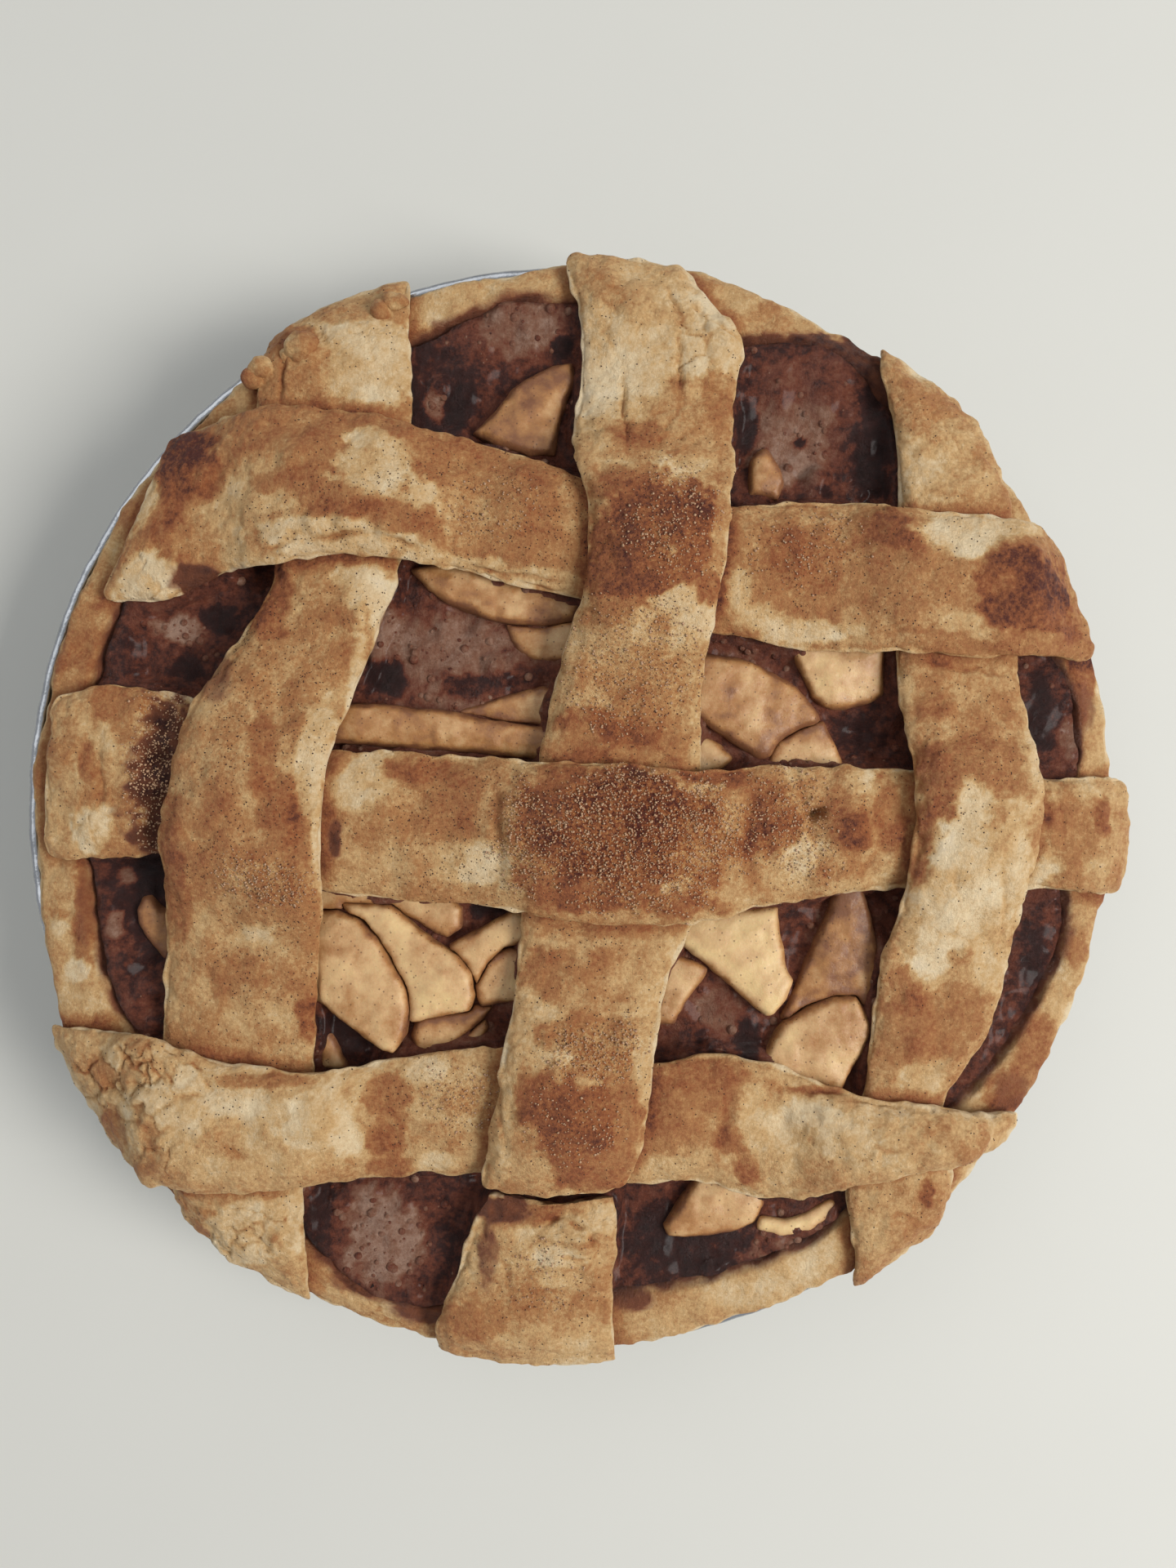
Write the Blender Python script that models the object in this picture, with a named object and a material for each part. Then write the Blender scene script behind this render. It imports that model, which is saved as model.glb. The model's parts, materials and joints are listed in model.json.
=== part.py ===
"""A home-baked apple pie with a woven lattice top, standing in its foil tin.

The origin is the centre of the tin's flat base and +Z is up. +Y is the pie's far edge and +X its right.
Sizes are in millimetres, and turn into metres as each mesh is made.
"""

import math
from collections import namedtuple

import bmesh
import bpy
from mathutils import Vector, noise

MM = 0.001

# The foil tin: a flat base, a fluted wall that flares, a narrow flange and a rolled bead.
TIN_BASE_RADIUS = 86.0
TIN_WALL_TOP_RADIUS = 103.0
TIN_WALL_TOP = 31.4
TIN_BEAD_RADIUS = 111.0
TIN_BEAD_TOP = 33.6
TIN_THICKNESS = 0.8
TIN_FLUTES = 36
TIN_FLUTE_DEPTH = 0.6
TIN_SEGMENTS = 2 * TIN_FLUTES

# The pastry case that lines the tin.
CASE_THICKNESS = 3.8
CASE_INNER_RADIUS = 79.5
CASE_WALL_TOP_RADIUS = 95.0
CASE_WALL_TOP = 34.4
CASE_SHELF = 35.4
CASE_SHELF_RADIUS = 96.0
CASE_RIM_RADIUS = 112.4
CASE_RIM_UNDERSIDE = 34.0
CASE_RIM_RINGS = (98.0, 101.5, 105.5, 109.0, CASE_RIM_RADIUS - 0.9)
CASE_SEGMENTS = 60

# How far out the pastry rim reaches, by angle in degrees. It stops short of the foil from 98 to 192.
RIM_OUTLINE = [
    (0, 111.2), (10, 110.4), (20, 111.8), (32, 111.2), (45, 112.4), (60, 110.6), (72, 111.6), (88, 111.4),
    (98, 108.0), (145, 108.4), (166, 107.8), (186, 108.0), (196, 110.6), (205, 112.2), (224, 113.0),
    (236, 111.8), (246, 112.6), (252, 110.8), (258, 112.0), (270, 111.4), (281, 109.6), (299, 109.6),
    (310, 111.4), (322, 110.8), (338, 109.8), (350, 110.2),
]

# How far out the filling reaches, by angle. It has boiled up over the rim in most of the gaps along it.
FILLING_OUTLINE = [
    (-2, 97.5), (4, 103.0), (14, 104.0), (20, 101.0), (27, 97.0), (44, 97.0), (51, 102.5), (56, 106.0),
    (61, 106.4), (65, 103.5), (70, 98.0), (82, 98.0), (88, 101.2), (97, 102.8), (101, 100.5), (106, 98.0),
    (118, 96.5), (150, 98.5), (166, 97.5), (190, 96.4), (203, 98.6), (214, 96.5), (236, 98.5), (242, 103.5),
    (248, 106.4), (254, 105.0), (261, 98.5), (270, 97.0), (284, 97.8), (300, 99.2), (312, 96.5), (324, 98.0),
    (334, 100.8), (346, 103.0), (352, 99.5),
]

# The bed is the surface that the lattice lies on: the dome of the filling, then the top of the rim.
BED_PROFILE = [
    (0, 43.0), (40, 42.2), (70, 40.3), (90, 38.5), (100, 38.7), (107, 37.9), (111, 36.4), (117, 32.5),
]

# The filling, which sinks between the strips and lies on the case's shelf along its edge.
FILLING_RADIUS = 95.1
FILLING_WALL_TOP = 33.4
FILLING_EDGE_UNDERSIDE = 36.1
FILLING_BELOW_BED = 0.5
FILLING_SINK = 3.4
FILLING_EDGE_SINK = 0.8
FILLING_EDGE_FROM = 84.0
FILLING_STRETCH_FROM = 60.0
FILLING_SINK_FROM = 0.5
FILLING_SINK_WIDTH = 4.0
FILLING_LUMP = 0.7
FILLING_LUMP_SIZE = 11.0
FILLING_RINGS = 11

# The lattice strips.
STRIP_THICKNESS = 4.2
STRIP_END_THICKNESS = 0.62
STRIP_ROUNDING = 0.42
STRIP_END_TAPER = 7.0
STRIP_LUMP = 0.55
STRIP_LUMP_SIZE = 17.0
STRIP_PUFF = 1.3
STRIP_STEP_MARGIN = 1.2
STRIP_STEP_WIDTH = 10.0
STRIP_PRESSED_FROM = 2.0
STRIP_PRESSED_TO = 7.0
STRIP_CELLS_ALONG = 28
STRIP_CELLS_ACROSS = 4
STRIP_CROWDED_ENDS = 0.55
STRIP_CROWDED_EDGES = 0.7

# The waves of a torn end: how high each is, how often it comes across the strip, and where it starts.
TORN_WAVES = [(1.2, 9.0, 0.0), (0.8, 21.0, 1.0)]

# Clearances between pieces that touch. A hollow's upper face is raised, so that it cuts clean through.
GAP = 0.35
HOLLOW_RAISE = 14.0
CASE_ABOVE_TIN = 0.4
RIM_BELOW_BED = 0.3
SLICE_BEVEL = 0.2

# A strip runs along x or y. Each station gives a place along it and the strip's low and high edges there.
# Start and end give the places along it where it stops. Each is trimmed round, following the rim, or torn
# square. The last field names the strips that it passes over.
Strip = namedtuple("Strip", "name runs stations start end start_torn end_torn over")

LATTICE = [
    Strip(
        "strip_left", "y",
        [(-98, -76, -51.5), (-74.5, -79.5, -52.5), (-48, -80.5, -49.5), (-33, -80, -49), (-17, -79.5, -47),
         (-2, -79, -47), (9, -77, -46), (22, -72.5, -41.5), (38, -62, -35.5), (48, -57, -32.5),
         (79, -62, -31), (105, -60, -31.5)],
        -113.5, 111.8, False, False, ["strip_middle"],
    ),
    Strip(
        "strip_centre", "y",
        [(-75, -16.5, 12), (-65, -15, 15), (-49, -12.5, 17), (-33, -10, 20), (-20, -8.5, 25.5),
         (9, -5.5, 26.5),
         (17, -4.5, 26.5), (32, -0.5, 27.5), (46, 4, 31), (59, 4.5, 32), (69, 1, 33), (82, 2, 33.5),
         (93, 3, 36), (100, 2, 29.5), (110, -0.5, 24)],
        -75.0, 111.4, True, False, ["strip_back", "strip_front"],
    ),
    Strip(
        "strip_centre_foot", "y",
        [(-110, -26.5, 10), (-92, -22, 9), (-80, -17, 10), (-77.5, -15.5, 9.5)],
        -112.4, -77.6, False, True, [],
    ),
    Strip(
        "strip_right", "y",
        [(-92, 57.5, 76), (-74.5, 55, 77), (-57, 59, 74), (-52, 59.5, 78.5), (-47, 60, 84), (-40, 60.5, 86),
         (-26, 63, 88.2), (-11, 67, 91.5), (5, 68, 94), (17, 66, 91.5), (30, 65, 90), (63, 66, 88),
         (76, 65, 83), (88, 63, 78)],
        -113.4, 112.4, False, False, ["strip_middle"],
    ),
    Strip(
        "strip_back", "x",
        [(-92, 41, 64), (-80, 40.5, 73.5), (-70, 46, 77), (-55, 48, 79), (-41, 49.5, 77.5), (-26, 47.5, 74.5),
         (-12, 44, 71), (4, 40.5, 65), (31, 34.5, 59.5), (42, 31.5, 60.5), (57, 30.5, 61), (72, 30, 58),
         (91, 29.5, 57), (104, 29.5, 51)],
        -102.0, 110.2, False, False, ["strip_left", "strip_right"],
    ),
    Strip(
        "strip_middle", "x",
        [(-101, -10, 22.5), (-92, -10, 25), (-77, -9, 22.5), (-47, -17, 11), (-31, -18.5, 11),
         (-12, -19.5, 9.5),
         (1, -22.5, 9.5), (25, -23, 7), (37, -19.5, 8), (50, -17.5, 8.5), (63, -16, 8), (89, -16, 6.5),
         (105, -17.5, 6)],
        -104.4, 113.6, False, False, ["strip_centre"],
    ),
    Strip(
        "strip_front", "x",
        [(-100, -67, -44), (-83, -73.5, -44.5), (-70, -75.5, -49), (-49, -74, -51.5), (-31, -73, -49),
         (-21, -72.5, -46.5), (-8, -72.5, -48), (15, -75, -51.5), (27, -73.8, -48), (33, -75, -48.8),
         (39, -79.5, -49.6), (43, -78.8, -51), (50, -75.4, -54), (60, -73.2, -57.5), (72, -70.8, -58),
         (84, -68.5, -61)],
        -114.6, 109.6, False, False, ["strip_left", "strip_right"],
    ),
]

# An apple slice: its outline seen from above, its thickness, how far its flat top stands above the bed at
# its middle, and how steeply that top rises towards +X and +Y. An earlier one lies on those after it.
Slice = namedtuple("Slice", "name outline thickness top rise_x rise_y")

SLICES = [
    Slice(
        "slice_back_gap",
        [(-19, 75.5), (-14, 73), (-8, 71), (-2.5, 71), (-1.2, 78), (0.2, 83), (1.8, 86.5), (1.2, 90.4),
         (-3, 89.6),
         (-7, 87.4), (-11, 84.4), (-14.5, 80.2)],
        5.4, -1.2, -0.03, -0.05,
    ),
    Slice(
        "slice_back_right_gap",
        [(36.6, 63), (42.5, 62.5), (44.2, 66), (43.2, 68.5), (40.2, 72.6), (37.2, 70.8)],
        4.6, -2.2, 0.0, 0.05,
    ),
    Slice(
        "slice_inner_left_high",
        [(-31, 47.5), (-27.5, 43.5), (-24, 41), (-20, 39.2), (-15, 37.6), (-10, 36.6), (-5, 36.2),
         (1.5, 37.5),
         (4, 43), (-8, 47), (-20, 50)],
        5.2, -1.4, 0.0, -0.04,
    ),
    Slice(
        "slice_inner_left_side",
        [(-12, 36.5), (-11.5, 33.5), (-9.5, 30.6), (-6, 29.2), (1.5, 29), (2.5, 38), (-5, 39)],
        4.6, -2.6, 0.0, 0.06,
    ),
    Slice(
        "slice_inner_left_bar",
        [(-49, 13.2), (-36, 12.2), (-25, 11.4), (-13, 10.2), (-1.5, 9.2), (-1, 15.6), (-15, 17.4),
         (-25, 19.3),
         (-36, 20.4), (-46.5, 21)],
        6.0, -0.6, 0.0, 0.16,
    ),
    Slice(
        "slice_inner_left_low",
        [(-23, 18.4), (-15, 16.4), (-1, 14), (0.5, 24), (-5, 24.2), (-10, 22.9), (-15, 21.4), (-20, 20.2)],
        4.4, -2.9, 0.02, 0.05,
    ),
    Slice(
        "slice_inner_right_large",
        [(23, 19), (28, 16.3), (33, 12.9), (38.6, 9.5), (40.6, 10.4), (42.4, 13.3), (46, 15.4), (50.6, 17.3),
         (49.2, 20.2), (46, 24), (42, 26.5), (38, 28.4), (34, 29.8), (23, 31)],
        5.4, -0.9, -0.05, 0.02,
    ),
    Slice(
        "slice_inner_right_pale",
        [(52, 20.1), (56, 19.7), (60, 20.8), (63.5, 22.6), (64, 34), (43.5, 35), (45.6, 30), (47.5, 25.4),
         (49.4, 21.8)],
        4.8, -1.6, -0.06, 0.08,
    ),
    Slice(
        "slice_inner_right_under",
        [(39.8, 6), (55.5, 6), (55, 10), (53.4, 13.6), (51.4, 17.4), (46, 18), (41, 14)],
        4.4, -2.3, 0.02, 0.04,
    ),
    Slice(
        "slice_inner_right_chip",
        [(23.5, 5.5), (31, 7.6), (33.4, 9.8), (31, 12.4), (28.4, 13.9), (23.5, 14.6)],
        4.2, -3.0, 0.0, -0.05,
    ),
    Slice(
        "slice_left_edge",
        [(-84.4, -17.1), (-86.1, -18.2), (-87, -20.6), (-86.7, -23.6), (-85, -26.6), (-83, -29.6),
         (-80.5, -32.6),
         (-77, -33.5), (-77, -22), (-82.2, -20.4)],
        5.2, -1.8, -0.25, 0.0,
    ),
    Slice(
        "slice_front_left_large",
        [(-51.5, -20.8), (-51.5, -37.4), (-46, -41.4), (-41, -44.8), (-36.6, -48.2), (-34.3, -48.9),
         (-32, -45),
         (-31.1, -40.2), (-32, -36), (-34.6, -31), (-37.6, -26), (-41, -22.4), (-46, -20.4)],
        5.4, 0.6, 0.05, -0.05,
    ),
    Slice(
        "slice_front_left_second",
        [(-45, -19), (-35, -19.4), (-30, -23.8), (-25, -27.2), (-21.4, -29.6), (-19, -33), (-18.1, -37.2),
         (-19.3, -40.6), (-25, -41.4), (-31.6, -42.6), (-36, -38)],
        5.2, -0.3, 0.04, -0.02,
    ),
    Slice(
        "slice_front_left_third",
        [(-23.6, -27.6), (-20, -25.4), (-15, -22.9), (-10.6, -20.2), (-6, -20.5), (-6, -26), (-12.8, -28),
         (-15.8, -31), (-18, -35), (-22, -32)],
        4.8, -0.8, 0.06, 0.06,
    ),
    Slice(
        "slice_front_left_side",
        [(-15.6, -29.4), (-11.4, -28.4), (-6.5, -29), (-7.5, -39.5), (-11.5, -38.9), (-17.2, -39.6),
         (-18.4, -36),
         (-17, -32.4)],
        4.6, -1.6, -0.06, 0.06,
    ),
    Slice(
        "slice_front_left_sunk",
        [(-30.2, -42.4), (-26, -40), (-20, -39.4), (-15, -40), (-17, -42.8), (-20, -45.2), (-24, -48.4),
         (-29, -50.5), (-31.2, -46)],
        4.4, -2.2, 0.0, 0.08,
    ),
    Slice(
        "slice_front_left_chip",
        [(-20.4, -44.6), (-16.6, -42.3), (-15.9, -44), (-18.4, -49), (-21.6, -50)],
        4.0, -2.4, 0.0, 0.0,
    ),
    Slice(
        "slice_front_left_sliver",
        [(-50.5, -43.5), (-48.2, -44.5), (-46.6, -47), (-44.2, -52.5), (-50, -53)],
        4.0, -2.4, 0.0, 0.0,
    ),
    Slice(
        "slice_front_left_back",
        [(-51, -14), (-51, -21.4), (-40, -20.2), (-33, -20.8), (-28, -23.8), (-24, -25.8), (-21.2, -24),
         (-21, -20), (-24.5, -15.5)],
        4.8, -1.6, 0.02, 0.0,
    ),
    Slice(
        "slice_front_right_pale",
        [(21, -19.5), (42, -20), (42.4, -26), (43.6, -31), (45.1, -34.6), (43.5, -38.2), (41.2, -41.4),
         (39.6, -41.7), (35, -37.7), (30, -33.1), (21, -26)],
        5.2, -0.6, 0.0, -0.04,
    ),
    Slice(
        "slice_front_right_round",
        [(38.8, -51.5), (41, -46.6), (43.6, -43.1), (48, -40.2), (54, -38), (58, -37.9), (59.8, -41),
         (61.1, -44.6), (59.6, -48.2), (57.4, -52), (55, -57), (44, -56)],
        5.4, -0.4, 0.02, 0.02,
    ),
    Slice(
        "slice_front_right_tall",
        [(53.6, -15), (59, -15.5), (61.3, -23), (62.4, -28), (62.2, -34), (61, -39), (57, -42.5), (48, -43.5),
         (43.2, -42.6), (45.2, -37.6), (47.4, -31.6), (50.4, -25.4), (52.8, -20.4)],
        5.0, -1.6, 0.03, 0.06,
    ),
    Slice(
        "slice_front_right_side",
        [(16, -29), (22, -29.4), (28.6, -31.8), (26.4, -35.4), (23.6, -39), (21.4, -43.4), (15, -44)],
        4.4, -2.2, 0.04, 0.02,
    ),
    Slice(
        "slice_front_gap_large",
        [(19.4, -84.6), (20.2, -86.9), (26, -87.1), (33, -86.3), (38, -84.2), (40, -80), (38, -71.5),
         (28.5, -71),
         (24.6, -77.2), (22, -81.4)],
        5.0, -1.2, -0.02, 0.02,
    ),
    Slice(
        "slice_front_gap_pale",
        [(37.6, -82.4), (38.4, -85.2), (43, -86.2), (49, -85.2), (53.2, -82.4), (54.4, -79), (52.6, -79),
         (48.4, -81.5), (44, -83.1)],
        1.8, -0.5, 0.0, 0.0,
    ),
]


def clear_scene():
    for item in list(bpy.data.objects):
        bpy.data.objects.remove(item)


def pastry_material(name, colour, roughness, metallic=0.0):
    made = bpy.data.materials.new(name)
    made.use_nodes = True
    shader = made.node_tree.nodes["Principled BSDF"]
    shader.inputs["Base Color"].default_value = (*colour, 1.0)
    shader.inputs["Roughness"].default_value = roughness
    shader.inputs["Metallic"].default_value = metallic
    return made


def smooth_step(low, high, value):
    share = min(1.0, max(0.0, (value - low) / (high - low)))
    return share * share * (3 - 2 * share)


def blend(low, high, share):
    return low + (high - low) * share


def smooth_curve(points):
    """A function that passes through the points without overshooting, and is level beyond them."""
    places = [place for place, _ in points]
    values = [value for _, value in points]
    steps = [
        (values[i + 1] - values[i]) / (places[i + 1] - places[i]) for i in range(len(points) - 1)
    ]
    slopes = [0.0] * len(points)
    for i in range(1, len(points) - 1):
        if steps[i - 1] * steps[i] > 0:
            slopes[i] = 2 * steps[i - 1] * steps[i] / (steps[i - 1] + steps[i])

    def value_at(place):
        if place <= places[0]:
            return values[0]
        if place >= places[-1]:
            return values[-1]
        i = max(k for k in range(len(places) - 1) if places[k] <= place)
        width = places[i + 1] - places[i]
        s = (place - places[i]) / width
        return (
            (2 * s**3 - 3 * s**2 + 1) * values[i]
            + (s**3 - 2 * s**2 + s) * width * slopes[i]
            + (3 * s**2 - 2 * s**3) * values[i + 1]
            + (s**3 - s**2) * width * slopes[i + 1]
        )

    return value_at


def around(outline, x, y):
    """The radius that the outline gives in the direction of this point."""
    degrees = math.degrees(math.atan2(y, x)) % 360
    turned_on = [(angle + lap, radius) for lap in (-360, 0, 360) for angle, radius in outline]
    before = max(point for point in turned_on if point[0] <= degrees)
    after = min(point for point in turned_on if point[0] > degrees)
    return blend(before[1], after[1], smooth_step(before[0], after[0], degrees))


bed_of_radius = smooth_curve(BED_PROFILE)
low_edges = {s.name: smooth_curve([(a, low) for a, low, _ in s.stations]) for s in LATTICE}
high_edges = {s.name: smooth_curve([(a, high) for a, _, high in s.stations]) for s in LATTICE}
strips_by_name = {s.name: s for s in LATTICE}


def bed_height(x, y):
    return bed_of_radius(math.hypot(x, y))


def lumps(x, y, size, seed):
    """Smooth noise between about -1 and 1, in lumps of this size."""
    return noise.noise(Vector((x / size, y / size, seed)))


def distance_outside(strip, x, y):
    """How far a point lies beyond the strip's long edges, or 0 within them."""
    along, across = (y, x) if strip.runs == "y" else (x, y)
    low = low_edges[strip.name](along)
    high = high_edges[strip.name](along)
    return max(low - across, across - high, 0.0)


def is_beside(strip, x, y):
    """Whether the point is between the strip's two ends."""
    along = y if strip.runs == "y" else x
    return strip.start <= along <= strip.end


def cover(x, y):
    """1 under the lattice, falling to 0 a little way outside its edges."""
    nearest = min(distance_outside(s, x, y) for s in LATTICE if is_beside(s, x, y))
    return 1 - smooth_step(FILLING_SINK_FROM, FILLING_SINK_FROM + FILLING_SINK_WIDTH, nearest)


def step_up(strip, x, y):
    """How far the strip rises from the bed to pass over the strips that it crosses."""
    rise = 0.0
    for name in strip.over:
        outside = distance_outside(strips_by_name[name], x, y)
        share = 1 - smooth_step(STRIP_STEP_MARGIN, STRIP_STEP_MARGIN + STRIP_STEP_WIDTH, outside)
        rise = max(rise, share * (STRIP_THICKNESS + GAP))
    return rise


def crosses_under(strip, x, y):
    """1 where another strip passes over this one, falling to 0 beside it."""
    most = 0.0
    for other in LATTICE:
        if strip.name in other.over:
            outside = distance_outside(other, x, y)
            most = max(most, 1 - smooth_step(STRIP_PRESSED_FROM, STRIP_PRESSED_TO, outside))
    return most


def turned(profile, segments):
    """A closed solid of revolution, from a profile whose two ends are on the Z axis."""
    mesh = bmesh.new()
    points = [mesh.verts.new((radius * MM, 0, height * MM)) for radius, height in profile]
    edges = [mesh.edges.new(pair) for pair in zip(points, points[1:])]
    bmesh.ops.spin(
        mesh, geom=points + edges, cent=(0, 0, 0), axis=(0, 0, 1), angle=math.tau, steps=segments,
        use_merge=True,
    )
    bmesh.ops.remove_doubles(mesh, verts=mesh.verts, dist=1e-6)
    bmesh.ops.recalc_face_normals(mesh, faces=mesh.faces)
    return mesh


def add_object(name, mesh, material, collection):
    data = bpy.data.meshes.new(name)
    mesh.to_mesh(data)
    mesh.free()
    data.materials.append(material)
    data.shade_smooth()
    made = bpy.data.objects.new(name, data)
    collection.objects.link(made)
    return made


def build_tin(material, collection):
    half = TIN_THICKNESS / 2
    profile = [
        (0, 0),
        (TIN_BASE_RADIUS - 1.6, 0),
        (TIN_BASE_RADIUS, 1.2),
        (TIN_WALL_TOP_RADIUS, TIN_WALL_TOP - half),
        (TIN_BEAD_RADIUS - 2.6, TIN_WALL_TOP),
        (TIN_BEAD_RADIUS - 0.6, TIN_BEAD_TOP - 2.4),
        (TIN_BEAD_RADIUS, TIN_BEAD_TOP - 1.2),
        (TIN_BEAD_RADIUS - 0.8, TIN_BEAD_TOP),
        (TIN_BEAD_RADIUS - 2.6, TIN_BEAD_TOP - 0.8),
        (TIN_WALL_TOP_RADIUS - half, TIN_WALL_TOP + TIN_THICKNESS),
        (TIN_BASE_RADIUS - 0.9, 1.2 + half),
        (TIN_BASE_RADIUS - 2.0, TIN_THICKNESS),
        (0, TIN_THICKNESS),
    ]
    mesh = turned(profile, TIN_SEGMENTS)
    for point in mesh.verts:
        radius = math.hypot(point.co.x, point.co.y) / MM
        on_wall = TIN_BASE_RADIUS - 1 < radius < TIN_WALL_TOP_RADIUS + 0.5
        if on_wall and point.co.z / MM < TIN_WALL_TOP + half:
            angle = math.atan2(point.co.y, point.co.x)
            wave = TIN_FLUTE_DEPTH * math.cos(TIN_FLUTES * angle)
            point.co.x += wave * MM * math.cos(angle)
            point.co.y += wave * MM * math.sin(angle)
    return add_object("tin", mesh, material, collection)


def build_case(material, collection):
    """The bottom crust: a pastry bowl with a rim that lies on the tin's flange and a shelf inside the rim."""
    floor = TIN_THICKNESS + CASE_ABOVE_TIN
    under_rim = TIN_WALL_TOP_RADIUS + 1.5
    profile = [
        (0, floor),
        (TIN_BASE_RADIUS - 3.2, floor),
        (TIN_BASE_RADIUS - 1.8, floor + 1.4),
        (TIN_WALL_TOP_RADIUS - 1.9, TIN_WALL_TOP),
        (TIN_WALL_TOP_RADIUS - 0.6, TIN_WALL_TOP + 1.6),
        (under_rim, CASE_RIM_UNDERSIDE),
        (CASE_RIM_RADIUS - 0.5, CASE_RIM_UNDERSIDE),
        (CASE_RIM_RADIUS, CASE_RIM_UNDERSIDE + 1.0),
        *[(radius, bed_of_radius(radius)) for radius in reversed(CASE_RIM_RINGS)],
        (CASE_SHELF_RADIUS, CASE_SHELF),
        (CASE_WALL_TOP_RADIUS, CASE_WALL_TOP),
        (CASE_INNER_RADIUS + 1.4, floor + CASE_THICKNESS + 1.6),
        (CASE_INNER_RADIUS, floor + CASE_THICKNESS),
        (0, floor + CASE_THICKNESS),
    ]
    mesh = turned(profile, CASE_SEGMENTS)
    for point in mesh.verts:
        x, y, height = point.co / MM
        radius = math.hypot(x, y)
        inside = radius < CASE_SHELF_RADIUS - 0.1 or height < CASE_RIM_UNDERSIDE - 0.1
        if inside or abs(radius - under_rim) < 0.1:
            continue
        share = (radius - CASE_SHELF_RADIUS) / (CASE_RIM_RADIUS - CASE_SHELF_RADIUS)
        moved = blend(around(FILLING_OUTLINE, x, y) + 0.6, around(RIM_OUTLINE, x, y), share)
        if height > CASE_SHELF + 0.1:
            height = bed_of_radius(moved) - RIM_BELOW_BED
        point.co = Vector((x * moved / radius, y * moved / radius, height)) * MM
    return add_object("pastry_case", mesh, material, collection)


def filling_height(x, y):
    """The top of the filling: just under the bed beneath the lattice, and lower and lumpy between strips."""
    at_edge = smooth_step(FILLING_EDGE_FROM, CASE_WALL_TOP_RADIUS, math.hypot(x, y))
    sink = blend(FILLING_SINK, FILLING_EDGE_SINK, at_edge)
    lump = FILLING_LUMP * lumps(x, y, FILLING_LUMP_SIZE, 7.7) * (1 - at_edge)
    return bed_height(x, y) - FILLING_BELOW_BED - (1 - cover(x, y)) * (sink - lump)


def build_filling(material, collection):
    """The spiced syrup and fruit, solid from the case's floor to its uneven top."""
    floor = TIN_THICKNESS + CASE_ABOVE_TIN + CASE_THICKNESS + GAP
    ring_radii = [FILLING_RADIUS * (1 - ring / FILLING_RINGS) for ring in range(FILLING_RINGS)]
    profile = [
        (0, floor),
        (CASE_INNER_RADIUS - 0.5, floor),
        (CASE_INNER_RADIUS + 0.9, floor + 1.6),
        (CASE_WALL_TOP_RADIUS - 0.7, FILLING_WALL_TOP),
        (CASE_WALL_TOP_RADIUS - 0.5, CASE_WALL_TOP + 0.8),
        (FILLING_RADIUS, FILLING_EDGE_UNDERSIDE),
        *[(radius, bed_of_radius(radius)) for radius in ring_radii],
        (0, bed_of_radius(0)),
    ]
    mesh = turned(profile, CASE_SEGMENTS)
    for point in mesh.verts:
        x, y, height = point.co / MM
        if height < FILLING_EDGE_UNDERSIDE - 0.1:
            continue
        radius = math.hypot(x, y)
        stretch = around(FILLING_OUTLINE, x, y) / FILLING_RADIUS
        reach = blend(1, stretch, smooth_step(FILLING_STRETCH_FROM, FILLING_RADIUS, radius))
        x, y = x * reach, y * reach
        if height > FILLING_EDGE_UNDERSIDE + 0.1:
            height = filling_height(x, y)
        point.co = Vector((x, y, height)) * MM
    return add_object("filling", mesh, material, collection)


def unit_slab(cells_along, cells_across):
    """A cube from -1 to 1, cut into cells along X and Y, to be bent into a strip."""
    mesh = bmesh.new()
    bmesh.ops.create_cube(mesh, size=2)
    for axis, cells in ((0, cells_along), (1, cells_across)):
        edges = [e for e in mesh.edges if abs(e.verts[0].co[axis] - e.verts[1].co[axis]) > 1e-6]
        bmesh.ops.subdivide_edges(mesh, edges=edges, cuts=cells - 1, use_grid_fill=True)
    return mesh


def strip_end(strip, place, torn, outward, across_share):
    """Where the strip stops, along its run, at this share of its width."""
    if torn:
        ragged = sum(
            height * math.sin(turns * across_share + shift) for height, turns, shift in TORN_WAVES
        )
        return place + outward + ragged
    across = blend(low_edges[strip.name](place), high_edges[strip.name](place), across_share)
    return math.copysign(math.sqrt((place + outward) ** 2 - across**2), place)


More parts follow.
